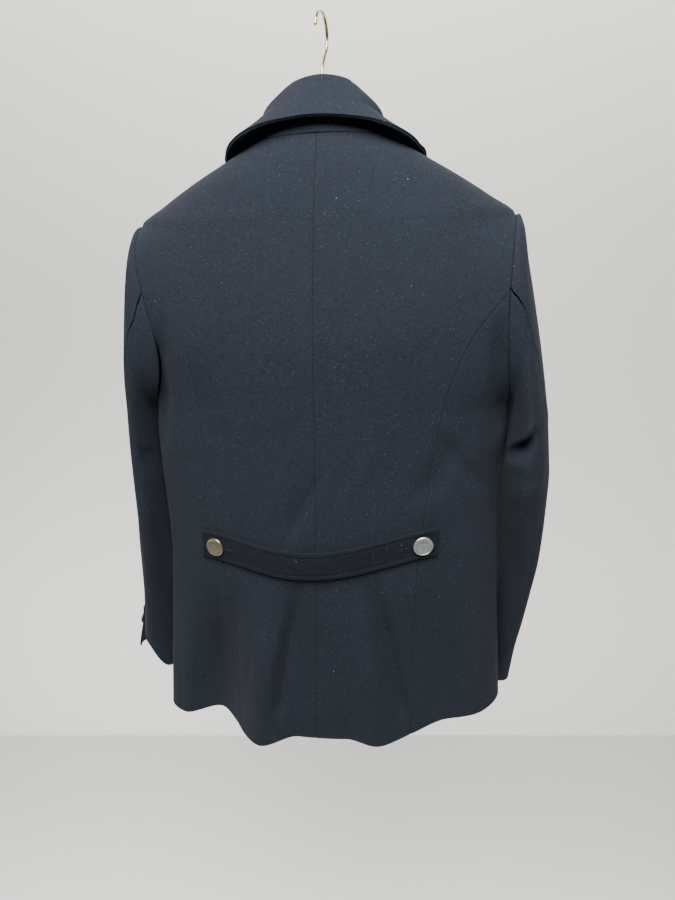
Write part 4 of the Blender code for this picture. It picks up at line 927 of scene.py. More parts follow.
def side_place(sign):
    """The panel under the arm as a function of share, height share and out."""
    start = math.acos((JUNCTION - ARM_MID) / ARM_HALF)
    end = math.pi + math.asin(FRONT_REACH / ARM_HALF_Y)
    last = front_seam_angle(sign)

    def place(share, up, out):
        share, up = pair(share, up)
        turn = start + (end - start) * share
        top_z = ARM_MID + ARM_HALF * np.cos(turn)
        back = angle_of(sign * armhole_x(top_z, sign > 0, True), top_z)
        front = angle_of(sign * armhole_x(top_z, sign > 0), top_z, False)
        top_phi = np.where(turn < math.pi, back, front)
        z = HEM + (top_z - HEM) * up
        first = seam_angle(sign, np.minimum(z, JUNCTION))
        first_top = seam_angle(sign, np.minimum(top_z, JUNCTION))
        mix = share + ((top_phi - first_top) / (last - first_top) - share) * up ** 3
        first = first + sign * trim(first, z)
        phi = first + (last - sign * trim(last, z) - first) * mix
        return body(phi, z - SEAM_LINE * (up >= 1), out)
    return place


def front_place(side):
    """One front as a function of share, level and out; its free edge is at share 1."""
    sign = SIGNS[side]

    def place(share, level, out):
        share, level = pair(share, level)
        drop = NECK_DROP * smooth((level - DROP_Z) / (NECK_SIDE - DROP_Z))
        z = level - drop * share
        edge_x = along(ROLL, "z", "x", level - drop)
        edge_x = edge_x + ROLL_BACK * smooth((level - ROLL_FOOT) / ROLL_FADE)
        centre = angle_of(sign * edge_x, level - drop, False)
        centre = np.where(edge_x < 0, centre + sign * 2 * math.pi, centre)
        seam = seam_angle(sign, level, True)
        seam = seam + sign * trim(seam, level)
        phi = seam + (centre - seam) * share
        x = body_plain(phi, z)[..., 0]
        top = SEAM_LINE * (level >= NECK_SIDE - CLOSE)
        return body(phi, z - top, under_step(side, x, z) + out)
    return place


def body_panel(name, place, v, last, free):
    """A panel of the body with a turned hem, sewn at its head and at its first edge."""
    return sewn_cloth(name, place, v, free_edge(), sewn_edge(), sewn_edge(), last, free)


def panel_levels():
    """Heights of the lines of a back or front, from hem to neck."""
    return line_up(HEM, NECK_SIDE, 1.0, free_edge(), sewn_edge(), LEVEL_STEP)


def make_back(side):
    """Half of the back, from the centre seam to the curved seam, armhole and shoulder."""
    return body_panel("cloth_back_" + side, back_place(SIGNS[side]), panel_levels(), sewn_edge(), ("foot",))


def make_side(side):
    """The panel under the arm."""
    v = line_up(0.0, 1.0, 1 / (JUNCTION - HEM - SIDE_SHORT), free_edge(), sewn_edge(), LEVEL_STEP)
    return body_panel("cloth_side_" + side, side_place(SIGNS[side]), v, sewn_edge(), ("foot",))


def make_front(side):
    """One front, to its free edge and the roll of its lapel."""
    return body_panel("cloth_front_" + side, front_place(side), panel_levels(), free_edge(),
                      ("foot", "right"))


# ---------------------------------------------------------------- lapels and collar

LAPEL_FOLD = 13                          # lines round a lapel's fold
LAPEL_CLEAR = 0.0003                     # between the fold's inner face and the front's edge
PUFF_RISE = 3                            # the lapel stands off fully after one part in this many of its run
EDGE_TURN = (90, -62, 12)                # rounding of a collar layer's edge: degrees from and to, and lines
EDGE_APART = 0.0006                      # from that rounding to the last even line
COLLAR_LINES, BEND_LINES = 36, 15        # lines from neck to edge, and in the fold
CORNER = {1: 1.0, -1: 0.2}               # how far the neck edge is rounded on the outer and inner face
COLLAR_WAVE, WAVE_ROUND, WAVE_TURN = 0.0007, 6.3, 0.6    # unevenness of the collar's fall
# How strongly the fall is kept off the body, at shares of its depth
HELD = ((0, 0.001, 0.25, 0.5, 1.1), (0, 0.3, 0.8, 1, 1))
NORMAL_LINES = 60                        # lines that the collar's outward directions are read from


def make_lapel(side):
    """The turned-back part of a front, with the fold that joins it to the front's edge."""
    tab = LAPEL_LEFT if side == "left" else LAPEL_RIGHT

    def place(share, v, out):
        share, v = pair(share, v)
        roll_z = along(tab, "v", "roll_z", v)
        roll_x = along(ROLL, "z", "x", roll_z)
        x = SIGNS[side] * (roll_x + (along(tab, "v", "edge_x", v) - roll_x) * share)
        z = roll_z + (along(tab, "v", "edge_z", v) - roll_z) * share
        puff = PUFF * np.sin(math.pi * np.clip(share, 0, 1)) * smooth(v * PUFF_RISE)
        return on_front(side, x, z, LAY_GAP + puff + LAPEL_WALL + out)

    edge = free_edge(LAPEL_WALL)
    v = line_up(0.0, 1.0, 1 / LAPEL_LONG[side], edge, edge, CLOTH_STEP)
    share, run = across(place, v, edge, edge)
    # the fold: the outer face turns round the front's edge, the inner face ends just clear of it
    reach = (LAY_GAP + LAPEL_WALL + WALL) / 2
    turn = np.radians(np.linspace(180, 0, LAPEL_FOLD))
    width = run[:, -1:]
    fold_share = -reach * np.sin(turn)[None, :] / width
    fold_out = np.broadcast_to(-reach + reach * np.cos(turn)[None, :], fold_share.shape)
    fold_under = np.broadcast_to(np.linspace(-2 * reach, -LAPEL_WALL, LAPEL_FOLD), fold_share.shape)
    flat = share[:, len(edge.inset):]
    drop, lift = edge_losses(None, edge, *flat.shape)
    outer_share = np.concatenate([fold_share, flat], axis=1)
    inner_share = np.concatenate([0 * fold_share - LAPEL_CLEAR / width, flat], axis=1)
    outer_out = np.concatenate([fold_out, -drop], axis=1)
    inner_out = np.concatenate([fold_under, -LAPEL_WALL + lift], axis=1)
    middle = np.minimum((outer_out + inner_out) / 2, -LAPEL_WALL / 2)
    fade = edge_losses(edge, edge, 1, len(v))[0].T / (LAPEL_WALL / 2)
    level = np.broadcast_to(v[:, None], outer_share.shape)
    return wall_mesh("cloth_lapel_" + side,
                     place(outer_share, level, outer_out + (middle - outer_out) * fade),
                     place(inner_share, level, inner_out + (middle - inner_out) * fade),
                     edge_wear_and_seam_shade(place(outer_share, level, 0.0), ("foot", "head", "right")))


def collar_middle(share, column):
    """Middle surface of the collar at shares round the neck (-1 to 1) and columns 0 to 1."""
    u, sign = np.abs(share)[:, None], np.where(share < 0, -1, 1)[:, None]
    point = {}
    for part in "nfe":
        x, y, z = (through_middle(COLLAR, part + axis, u, axis == "x") for axis in "xyz")
        shift = COLLAR_SHIFT * smooth(u / SHIFT_OVER) if part != "n" else 0
        point[part] = np.stack([x * sign + shift, y, z], axis=-1)
    neck, fold, edge = point["n"] - (0, 0, NECK_SINK), point["f"], point["e"]
    to_neck = (neck - fold) / np.linalg.norm(neck - fold, axis=-1, keepdims=True)
    to_edge = (edge - fold) / np.linalg.norm(edge - fold, axis=-1, keepdims=True)
    down, apart = (to_neck + to_edge) / 2, to_neck - to_edge
    apart /= np.linalg.norm(apart, axis=-1, keepdims=True)
    before, after = fold + (apart + down) * FOLD_RADIUS, fold + (down - apart) * FOLD_RADIUS
    c = column[None, :, None]
    stand = np.clip(c / STAND_SHARE, 0, 1)
    bend = np.clip((c - STAND_SHARE) / BEND_SHARE, 0, 1) * math.pi
    fall = np.clip((c - STAND_SHARE - BEND_SHARE) / (1 - STAND_SHARE - BEND_SHARE), 0, None)
    arc = fold + (apart * np.cos(bend) + down * (1 - np.sin(bend))) * FOLD_RADIUS
    grid = np.where(c < STAND_SHARE, neck + (before - neck) * stand,
                    np.where(c <= STAND_SHARE + BEND_SHARE, arc, after + (edge - after) * fall))
    pushed = stand_off(grid, COLLAR_WALL / 2 + COLLAR_CLEAR)
    weight = np.interp(fall[..., 0], *HELD) * smooth((u - FALL_FROM) / FALL_OVER)
    return grid + (pushed - grid) * weight[..., None]


def collar_normal(rows, column):
    """Outward directions of the collar's middle surface, read from an even grid."""
    even = np.linspace(0, 1, NORMAL_LINES)
    plain = collar_middle(rows, even)
    normal = np.cross(np.gradient(plain, axis=0), np.gradient(plain, axis=1))
    normal = np.array([np.stack([np.interp(column, even, line[:, k]) for k in range(3)], -1)
                       for line in normal])
    return normal / np.linalg.norm(normal, axis=-1, keepdims=True)


def make_collar():
    """The turned-down collar, cut double: its two layers meet in a groove along the edge."""
    neck_edge = free_edge(COLLAR_WALL)
    v = line_up(-1.0, 1.0, 1 / COLLAR_HALF, neck_edge, neck_edge, COLLAR_STEP)
    half, turn = COLLAR_WALL / 2, np.radians(np.linspace(*EDGE_TURN))
    face, lining = TOP_LAYER / 2, (COLLAR_WALL - TOP_LAYER) / 2
    start = neck_edge.inset / COLLAR_DEEP
    stop = 1 - (lining + EDGE_APART) / COLLAR_DEEP
    middle = np.concatenate([np.linspace(start[-1], stop, COLLAR_LINES),
                             np.linspace(STAND_SHARE, STAND_SHARE + BEND_SHARE, BEND_LINES)])
    middle = np.unique(np.round(middle, 6))[1:]
    fade = 1 - edge_losses(neck_edge, neck_edge, 1, len(v))[0].T / half
    grids = []
    for radius, side in ((face, 1), (lining, -1)):
        inset = np.append(radius * (1 - np.cos(turn)), GROOVE_DEEP)
        out = np.append(side * (half - radius * (1 - np.sin(turn))), half - TOP_LAYER)
        column = np.concatenate([start, middle, 1 - inset / COLLAR_DEEP])
        thick = np.concatenate([side * (half - neck_edge.drop * CORNER[side]),
                                np.full(len(middle), side * half), out])
        wave = COLLAR_WAVE * np.sin(WAVE_ROUND * v + WAVE_TURN)[:, None]
        wave = wave * np.clip(column - 0.5, 0, 1)[None, :]
        grids.append(lean(collar_middle(v, column)
                          + collar_normal(v, column) * (thick[None, :] * fade + wave)[..., None]))
    return wall_mesh("cloth_collar", *grids, edge_wear_and_seam_shade(grids[0], ("foot", "head", "right")))


# ---------------------------------------------------------------- sleeves

SLEEVE_KNOTS, SLEEVE_LINES = (3.0, 6.5, 9.2), (20, 34, 40, 36, 6, 22)    # rings, and lines between them


def at_armhole(side, row):
    """The first ring of a sleeve presses a little into the armhole."""
    return (row <= 0)[..., None] * np.array([ARM_GAP * SIGNS[side], 0, 0])


def slit_edge(v):
    """The back edge of a sleeve piece: sewn, and free below the head of the cuff's slit."""
    return sewn_edge().mixed(free_edge(), smooth((v - VENT_ROW) / LAP_ROWS))


def make_sleeve_upper(side):
    """The upper sleeve, with the lap of the cuff's slit."""
    def place(share, row, out):
        share, row = pair(share, row)
        return on_cuff(side)(share, row, out) + at_armhole(side, row)

    v = sleeve_lines()
    return sewn_cloth("cloth_sleeve_upper_" + side, place, v, sewn_edge(), free_edge(), sewn_edge(),
                      slit_edge(v), ("head", "right_low"))


def make_sleeve_under(side):
    """The under sleeve."""
    def place(share, row, out):
        share, row = pair(share, row)
        first = along(SLEEVES[side], "row", "seam", row) + seam_trim(row)
        angle = first + (FRONT_SEAM + 360 - seam_trim(row) - first) * share
        return sleeve(side, angle, row - cuff_cut(side, row, angle - first), out) + at_armhole(side, row)

    v = sleeve_lines()
    return sewn_cloth("cloth_sleeve_under_" + side, place, v, sewn_edge(), free_edge(), slit_edge(v),
                      sewn_edge(), ("head",))


def sleeve_lines():
    """Ring values of a sleeve's lines, closer where the elbow creases."""
    a = EDGE_INSETS / SLEEVE_STEP[0]
    b = SLEEVE_ROWS - EDGE_INSETS[::-1] / SLEEVE_STEP[1]
    knots = np.array([a[-1], *SLEEVE_KNOTS, VENT_ROW, VENT_ROW + LAP_ROWS, b[0]])
    lines = [np.linspace(p, q, n + 1)[:-1] for p, q, n in zip(knots, knots[1:], SLEEVE_LINES)]
    return np.concatenate([a, np.concatenate(lines)[1:], b])


# ---------------------------------------------------------------- half belt

BELT_LINES = np.array([0, 0.00012, 0.0004, 0.0009, 0.0015, 0.0021, 0.0030, 0.0040, 0.0050, 0.0058, 0.0063,
                       0.0067, 0.0071, 0.0076, 0.0084, 0.0095, 0.0110, 0.0130, 0.0150, 0.0170])
BELT_COLUMNS = 108
STITCH_INSET, STITCH_DEEP, STITCH_WIDE = 0.0067, 0.00075, 0.0009
STITCH_START, STITCH_END = 0.10, 0.88    # of a thread within its step
BELT_WORN, BELT_PAINTED_SHADE = 0.0028, 0.55    # reach of its edge's wear, and how much darker its cloth is painted, as painted shade for the duller sheen of its crosswise nap


def belt_place(x, height, out):
    """Point over the half belt's outer face: x, height from its lower edge, and out."""
    return on_back(x, belt_line(x) + height - BELT_TALL / 2, belt_off(x) + BELT_WALL + out)


def belt_relief(inset, x):
    """Relief of the belt's face: crowned band, stitched channel, low crown and slow waves inside."""
    band = 0.00050 * bump((inset - 0.0034) / 0.0036)
    channel = -STITCH_DEEP * np.exp(-((inset - STITCH_INSET) / STITCH_WIDE) ** 2)
    wave = 0.0004 * np.sin(31 * x + 1.1) * smooth(inset / 0.006)
    return band + channel + 0.00025 * smooth((inset - 0.0085) / 0.008) + wave


def make_half_belt():
    """The sagging half belt with square, stitched ends."""
    rise = np.concatenate([BELT_LINES, [BELT_TALL / 2], BELT_TALL - BELT_LINES[::-1]])
    inner = np.linspace(BELT_LINES[-1], 2 * BELT_HALF - BELT_LINES[-1], BELT_COLUMNS)[1:-1]
    run = np.concatenate([BELT_LINES, inner, 2 * BELT_HALF - BELT_LINES[::-1]])
    run, rise = np.meshgrid(run, rise)
    gaps = np.stack([run, 2 * BELT_HALF - run, rise, BELT_TALL - rise])
    inset = gaps.min(axis=0)
    x = BELT_SHIFT - BELT_HALF + run
    loss = round_drop(gaps, BELT_WALL).sum(axis=0)
    out = np.maximum(-loss, -BELT_WALL / 2) + belt_relief(inset, x) * (loss < BELT_WALL / 4)
    under = np.minimum(-BELT_WALL + loss, -BELT_WALL / 2)
    # the belt's cloth is a darker copy of the wool: painted shade for the duller sheen of its crosswise nap
    return wall_mesh("cloth_half_belt", belt_place(x, rise, out), belt_place(x, rise, under),
                     np.exp(-(inset / BELT_WORN) ** 2), melton("across", BELT_PAINTED_SHADE))


# ---------------------------------------------------------------- threads and buttonholes

# One stitch: share of its length, then radius and height in thread radii
STRAND = ((0.0, 0.35, -0.9), (0.12, 0.85, -0.1), (0.5, 1.0, 0.25), (0.88, 0.85, -0.1), (1.0, 0.35, -0.9))
STRAND_SIDES = 6
HOLE_PITCH, HOLE_THREAD = 0.00052, 0.00026   # step between the threads of a buttonhole, and their radius
HOLE_EYE, HOLE_HALF = 0.0017, 0.0006         # radius of its eye, and half the width of its slit
HOLE_THREAD_OUT, HOLE_OUT, HOLE_SUNK = 0.00028, 0.00030, -0.0001     # heights over the cloth
EYE_TURN, EYE_THREADS = math.pi * 0.80, 19   # the threads go round the eye from minus to plus this turn
SLIT_TURN, SLIT_POINTS = 2.3, 15             # and the painted shadow of the slit from plus to minus this one
HOLE_FROM = 0.0095                           # from the button's middle to its buttonhole
BELT_HOLE, FRONT_HOLE = 0.0120, 0.0100       # lengths


def tube_faces(count, sides):
    """Faces round a stack of rings, with a cap at both ends."""
    faces = []
    for start in range(0, (count - 1) * sides, sides):
        for k in range(sides):
            a, b = start + k, start + (k + 1) % sides
            faces.append((a, b, b + sides, a + sides))
    return faces + [tuple(range(sides - 1, -1, -1)), tuple(range((count - 1) * sides, count * sides))]


def stitch_mesh(starts, ends, lifts, radius):
    """Points and faces of short threads: each a plump strand that dips into the cloth at both ends."""
    points, faces = [], []
    for a, b, up in zip(starts, ends, lifts):
        cross = np.cross((b - a) / np.linalg.norm(b - a), up)
        faces += [tuple(len(points) + k for k in face) for face in tube_faces(len(STRAND), STRAND_SIDES)]
        for t, r, h in STRAND:
            centre = a + (b - a) * t + up * radius * h
            for k in range(STRAND_SIDES):
                w = 2 * math.pi * k / STRAND_SIDES
                points.append(centre + (cross * math.cos(w) + up * math.sin(w)) * radius * r)
    return points, faces


def thread_piece(name, points, faces, materials, picks=None):
    """A piece of threads."""
    piece = closed_piece(name, new_mesh(name, points, faces), materials, None, picks)
    return piece


def belt_stitches(sizes):
    """One row of stitches in the channel round the half belt."""
    long, tall = 2 * BELT_HALF - 2 * STITCH_INSET, BELT_TALL - 2 * STITCH_INSET
    corners = np.array([(0, 0), (long, 0), (long, tall), (0, tall), (0, 0)])
    marks = []
    for a, b in zip(corners, corners[1:]):
        count = max(1, int(round(math.hypot(*(b - a)) / sizes.stitch_pitch)))
        share = (np.arange(count)[:, None] + (STITCH_START, STITCH_END)) / count
        marks.append(a + (b - a) * share[..., None])
    marks = np.concatenate(marks) + STITCH_INSET
    ends = [facing(lambda x, h, out: belt_place(x, h, out - STITCH_DEEP),
                   BELT_SHIFT - BELT_HALF + marks[:, k, 0], marks[:, k, 1]) for k in (0, 1)]
    points, faces = stitch_mesh(ends[0][0], ends[1][0], ends[0][1], sizes.thread)
    return thread_piece("belt_stitches", points, faces, [sewing_thread()])


def keyhole(name, place, at, toward, long, height):
    """A keyhole buttonhole: close threads round a slit with a round eye at its far end; the slit is a sheet
    in painted shadow.
    """
    def lay(t, s, out):
        return place(at + toward * t, height + s, np.full(t.shape, out))

    def eye(turn):
        return long + HOLE_EYE * 0.8 + HOLE_EYE * np.cos(turn), HOLE_EYE * np.sin(turn)

    run = np.arange(0, long, HOLE_PITCH)
    turn = np.linspace(-EYE_TURN, EYE_TURN, EYE_THREADS)
    eye_t, eye_s = eye(turn)
    t = np.concatenate([run, run, eye_t])
    s = np.concatenate([0 * run + HOLE_HALF, 0 * run - HOLE_HALF, eye_s])
    away_t = np.concatenate([0 * run, 0 * run, np.cos(turn)])
    away_s = np.concatenate([0 * run + 1, 0 * run - 1, np.sin(turn)])
    starts = lay(t, s, HOLE_THREAD_OUT)
    ends = lay(t + away_t * THREAD_REACH, s + away_s * THREAD_REACH, HOLE_THREAD_OUT)
    ups = lay(t, s, 0.001) - starts
    ups = ups / np.linalg.norm(ups, axis=-1, keepdims=True)
    points, faces = stitch_mesh(starts, ends, ups, HOLE_THREAD)
    picks = [0] * len(faces)
    # the slit: a thin sheet in painted shadow between the threads
    eye_t, eye_s = eye(np.linspace(SLIT_TURN, -SLIT_TURN, SLIT_POINTS))
    t = np.concatenate([[0, long], eye_t, [long, 0]])
    s = np.concatenate([[HOLE_HALF, HOLE_HALF], eye_s, [-HOLE_HALF, -HOLE_HALF]])
    faces += [tuple(len(points) + k for k in face) for face in tube_faces(2, len(t))]
    points += [*lay(t, s, HOLE_OUT), *lay(t, s, HOLE_SUNK)]
    return thread_piece(name, points, faces, [sewing_thread(), painted_slit_shadow()], picks + [1] * (len(t) + 2))


def front_buttonholes():
    """The three buttonholes of the upper front, each beside its button."""
    return [keyhole("front_buttonhole_%d" % (i + 1), lambda x, h, out: on_front("left", x, z + h, out),
                    HOLE_FROM - FRONT_BUTTON_X, 1, FRONT_HOLE, 0.0) for i, z in enumerate(FRONT_BUTTONS)]


# ---------------------------------------------------------------- buttons

BUTTON_SIDES = 96
BUTTON_FACE, BUTTON_DOME = 0.00245, 0.0006       # height of the face's rim, and of its dome
# The button's side and back, below its face: radius and height
BUTTON_SIDE = ((0.01215, 0.00285), (0.0124, 0.0025), (0.0125, 0.0021), (0.0123, 0.0015), (0.0118, 0.00105),
               (0.0100, 0.00092), (0.0034, 0.00090), (0.0030, 0.0006), (0.0030, 0.0))
BUTTON_WEAR = 0.0004                             # parts raised this much are worn bright
SHANK_RADIUS, SHANK_THREADS, SHANK_THREAD = 0.0018, 9, 0.00035
BELT_METAL = {"left": "brass", "right": "silver"}


def button_dome(r):
    """Height of a button's plain domed face."""
    return BUTTON_DOME * (1 - (r / (BUTTON / 2)) ** 2)


def button_height(r, w):
    """Height of a metal button's face: raised rim, sunk field, beaded ring and a low rosette."""
    rim = 0.00085 * np.exp(-((r - 0.0113) / 0.00085) ** 2)
    ring = (0.00022 + 0.00010 * np.cos(44 * w)) * np.exp(-((r - 0.0092) / 0.00042) ** 2)
    petals = 0.5 + 0.5 * np.cos(6 * w)
    rosette = 0.00040 * petals * bump((r - 0.0042) / 0.0026) + 0.00030 * bump(r / 0.0016)
    leaves = 0.00022 * (0.5 - 0.5 * np.cos(6 * w)) * bump((r - 0.0064) / 0.0018)
    return BUTTON_FACE + button_dome(r) + rim + ring + rosette + leaves


def make_button(name, diameter, at, normal, metal):
    """A cast metal button with a shank."""
    w = np.linspace(0, 2 * math.pi, BUTTON_SIDES, endpoint=False)
    face_r = np.concatenate([np.linspace(0.0004, 0.0100, 27), np.linspace(0.0102, 0.0118, 8)])
    rings = [(r, button_height(r, w)) for r in face_r] + [(r, h + 0 * w) for r, h in BUTTON_SIDE]
    points = [np.stack([r * np.cos(w), r * np.sin(w), h], -1) * (diameter / BUTTON) for r, h in rings]
    worn = [np.clip((h - BUTTON_FACE - button_dome(r)) / BUTTON_WEAR, 0, 1) for r, h in rings]
    mesh = new_mesh(name, np.concatenate(points), tube_faces(len(rings), BUTTON_SIDES))
    layer = mesh.attributes.new("relief", "FLOAT", "POINT")
    layer.data.foreach_set("value", np.concatenate(worn).astype(np.float32))
    turn = Vector(normal).to_track_quat("Z", "Y").to_matrix().to_4x4()
    mesh.transform(Matrix.Translation(Vector(at)) @ turn)
    return closed_piece(name, mesh, [metal], 60)


def button_thread(name, at, normal, radius):
    """The wound thread between a button's shank and the cloth."""
    normal = Vector(normal)
    side = normal.orthogonal().normalized()
    turns = [2 * math.pi * i / SHANK_THREADS for i in range(SHANK_THREADS)]
    spokes = [side * math.cos(w) + normal.cross(side) * math.sin(w) for w in turns]
    starts = [np.array(Vector(at) + spoke * radius - normal * 0.0003) for spoke in spokes]
    ends = [np.array(Vector(at) + spoke * radius * 0.8 + normal * (BUTTON_GAP + 0.0004))
            for spoke in spokes]
    points, faces = stitch_mesh(starts, ends, [np.array(spoke) for spoke in spokes], SHANK_THREAD)
    return thread_piece(name, points, faces, [sewing_thread()])


def make_buttons(sizes):
    """Belt, cuff and front buttons, seated where their solids are."""
    for side, sign in SIGNS.items():
        x = np.array(sign * BELT_BUTTON_X)
        at, normal = facing(on_back, x, belt_line(x))
        at = at + normal * (float(belt_off(x)) + BELT_WALL)
        finish_button("belt_button_" + side, sizes.button, at, normal, BELT_METAL[side])
        at, normal = facing(on_cuff(side), np.array(CUFF_BUTTON_SHARE), np.array(CUFF_BUTTON_ROW))
        finish_button("cuff_button_" + side, sizes.cuff_button, at, normal, "silver")
        for i, z in enumerate(FRONT_BUTTONS):
            at, normal = facing(lambda x, z, out: on_front("left", x, z, out),
                                np.array(sign * FRONT_BUTTON_X), np.array(z))
            finish_button("front_button_%s_%d" % (side, i + 1), sizes.button, at, normal, "silver")


def finish_button(node, diameter, at, normal, metal):
    """One button with its thread, standing for a node."""
    piece = make_button("metal_" + node, diameter, at + normal * BUTTON_GAP, normal, button_metal(metal))
    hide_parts(node)
    with_faces(piece)
    button_thread("thread_" + node, at, normal, SHANK_RADIUS * diameter / BUTTON)


# ---------------------------------------------------------------- hanger

HOOK_SIDES, HOOK_ROUND = 20, 0.95                # sides of the wire, and how round its ends are
HOOK_CAPS = ((-0.95, 0.31), (-0.7, 0.71), (-0.35, 0.94))     # along and across, in radii
HOOK_STOPS = (225, 15)                           # the crook's ends, in degrees
ARM_FLAT, ARM_BEND = 0.035, 0.058                # the arms are level up to here, and slope from there
ARM_TIP = 0.006                                  # length of an arm's rounded tip
ARM_SIDES, ARM_SQUARE = 32, 0.35                 # sides of an arm, and how square its section is


def hook_line():
    """Middle of the hook's wire, finely: straight stem, bend, round crook and a short end."""
    centre = WIRE / 2 - CROOK_RADIUS
    turn = CROOK_RADIUS * math.sqrt(0.5)
    low, bend, join = HOOK_BEND, centre - 2 * turn, centre - turn
    points = [(0.0, HOOK_FOOT + (low - HOOK_FOOT) * t) for t in np.linspace(0, 1, 14)[:-1]]
    points += [(-turn * t * t, low * (1 - t) ** 2 + 2 * bend * t * (1 - t) + join * t * t)
               for t in np.linspace(0, 1, 20)[:-1]]
    points += [(CROOK_RADIUS * math.cos(a), centre + CROOK_RADIUS * math.sin(a))
               for a in np.radians(np.linspace(*HOOK_STOPS, 61))]
    return np.array([(HOOK_TURN[0] * q, HOOK_TURN[1] * q, z) for q, z in points])


def make_hook():
    """The wire hook, one smooth tube with rounded ends."""
    line = hook_line()
    tangent = np.gradient(line, axis=0)
    tangent /= np.linalg.norm(tangent, axis=1, keepdims=True)
    aside = np.cross((*HOOK_TURN, 0.0), (0.0, 0.0, 1.0))
    aside /= np.linalg.norm(aside)
    radius = WIRE / 2
    rings = [(line[0] + tangent[0] * radius * (s + HOOK_ROUND), tangent[0], radius * r)
             for s, r in HOOK_CAPS]
    rings += [(p + tangent[0] * radius * HOOK_ROUND * (i == 0), t, radius)
              for i, (p, t) in enumerate(zip(line, tangent))]
    rings += [(line[-1] - tangent[-1] * radius * s, tangent[-1], radius * r)
              for s, r in reversed(HOOK_CAPS)]
    turns = [2 * math.pi * k / HOOK_SIDES for k in range(HOOK_SIDES)]
    points = [p + (aside * math.cos(w) + np.cross(t, aside) * math.sin(w)) * r
              for p, t, r in rings for w in turns]
    return closed_piece("wire_hook", new_mesh("wire_hook", points, tube_faces(len(rings), HOOK_SIDES)),
                        [hook_brass()])


def hanger_rings(side):
    """Rings of one wooden arm, fine, from the middle to its rounded tip inside the shoulder."""
    heights = np.array((NECK_SIDE,) + SHOULDER_LEVELS[-2::-1] + (TIP,))
    widths = along(BODY, "z", side, heights)
    knots = np.array([0.0, ARM_FLAT, ARM_BEND, *widths[:-1], widths[-1] - HANGER_SHORT])
    top = np.interp(knots, widths, heights)
    top[:3] = (HANGER_TOP, HANGER_TOP, (HANGER_TOP + NECK_SIDE) / 2)
    slope = np.interp(knots, knots[:-1], np.diff(top) / np.diff(knots))
    sink = (WALL + LAY_GAP) * np.sqrt(1 + np.minimum(slope, np.gradient(top, knots)) ** 2)
    sink[:3] = WALL + LAY_GAP
    depth = along(BODY, "z", "side_l", np.clip(top, TIP, NECK_SIDE))
    depth[:2] = 0
    tall = np.where(knots > HANGER_TAPER, HANGER_THIN, HANGER_TALL)
    x = np.concatenate([np.linspace(0, knots[-1] - ARM_TIP, 64),
                        knots[-1] - np.array([0.0045, 0.003, 0.0018, 0.0008, 0.0002])])
    end = np.sqrt(np.clip(1 - (1 - np.clip((knots[-1] - x) / ARM_TIP, 0, 1)) ** 2, 0, 1))
    drop = np.interp(x, knots, top - sink)
    high, y = np.interp(x, knots, tall), np.interp(x, knots, depth)
    w = np.linspace(0, 2 * math.pi, ARM_SIDES, endpoint=False)
    oval = 1 / (np.abs(np.cos(w)) ** 3 + np.abs(np.sin(w)) ** 3) ** (1 / 3)
    near = np.minimum(ARM_SQUARE * oval + 1 - ARM_SQUARE, 1)
    return [np.stack([SIGNS[side] * x[i] + 0 * w, y[i] + HANGER_DEEP * end[i] * np.sin(w) * near,
                      drop[i] - 0.0002 - high[i] + high[i] * end[i] * np.cos(w) * near], -1)
            for i in range(len(x))]


def make_hanger():
    """The wooden hanger inside the shoulders."""
    rings = lean(np.array(hanger_rings("right")[:0:-1] + hanger_rings("left")))
    mesh = new_mesh("wooden_hanger", rings.reshape(-1, 3), tube_faces(*rings.shape[:2]))
    return closed_piece("wooden_hanger", mesh, [hanger_wood()], 60)


# ---------------------------------------------------------------- finishes

MIX_ONE, MIX_TWO, MIX_COLOUR = 6, 7, 2   # colour sockets of the mix node: both inputs and the output


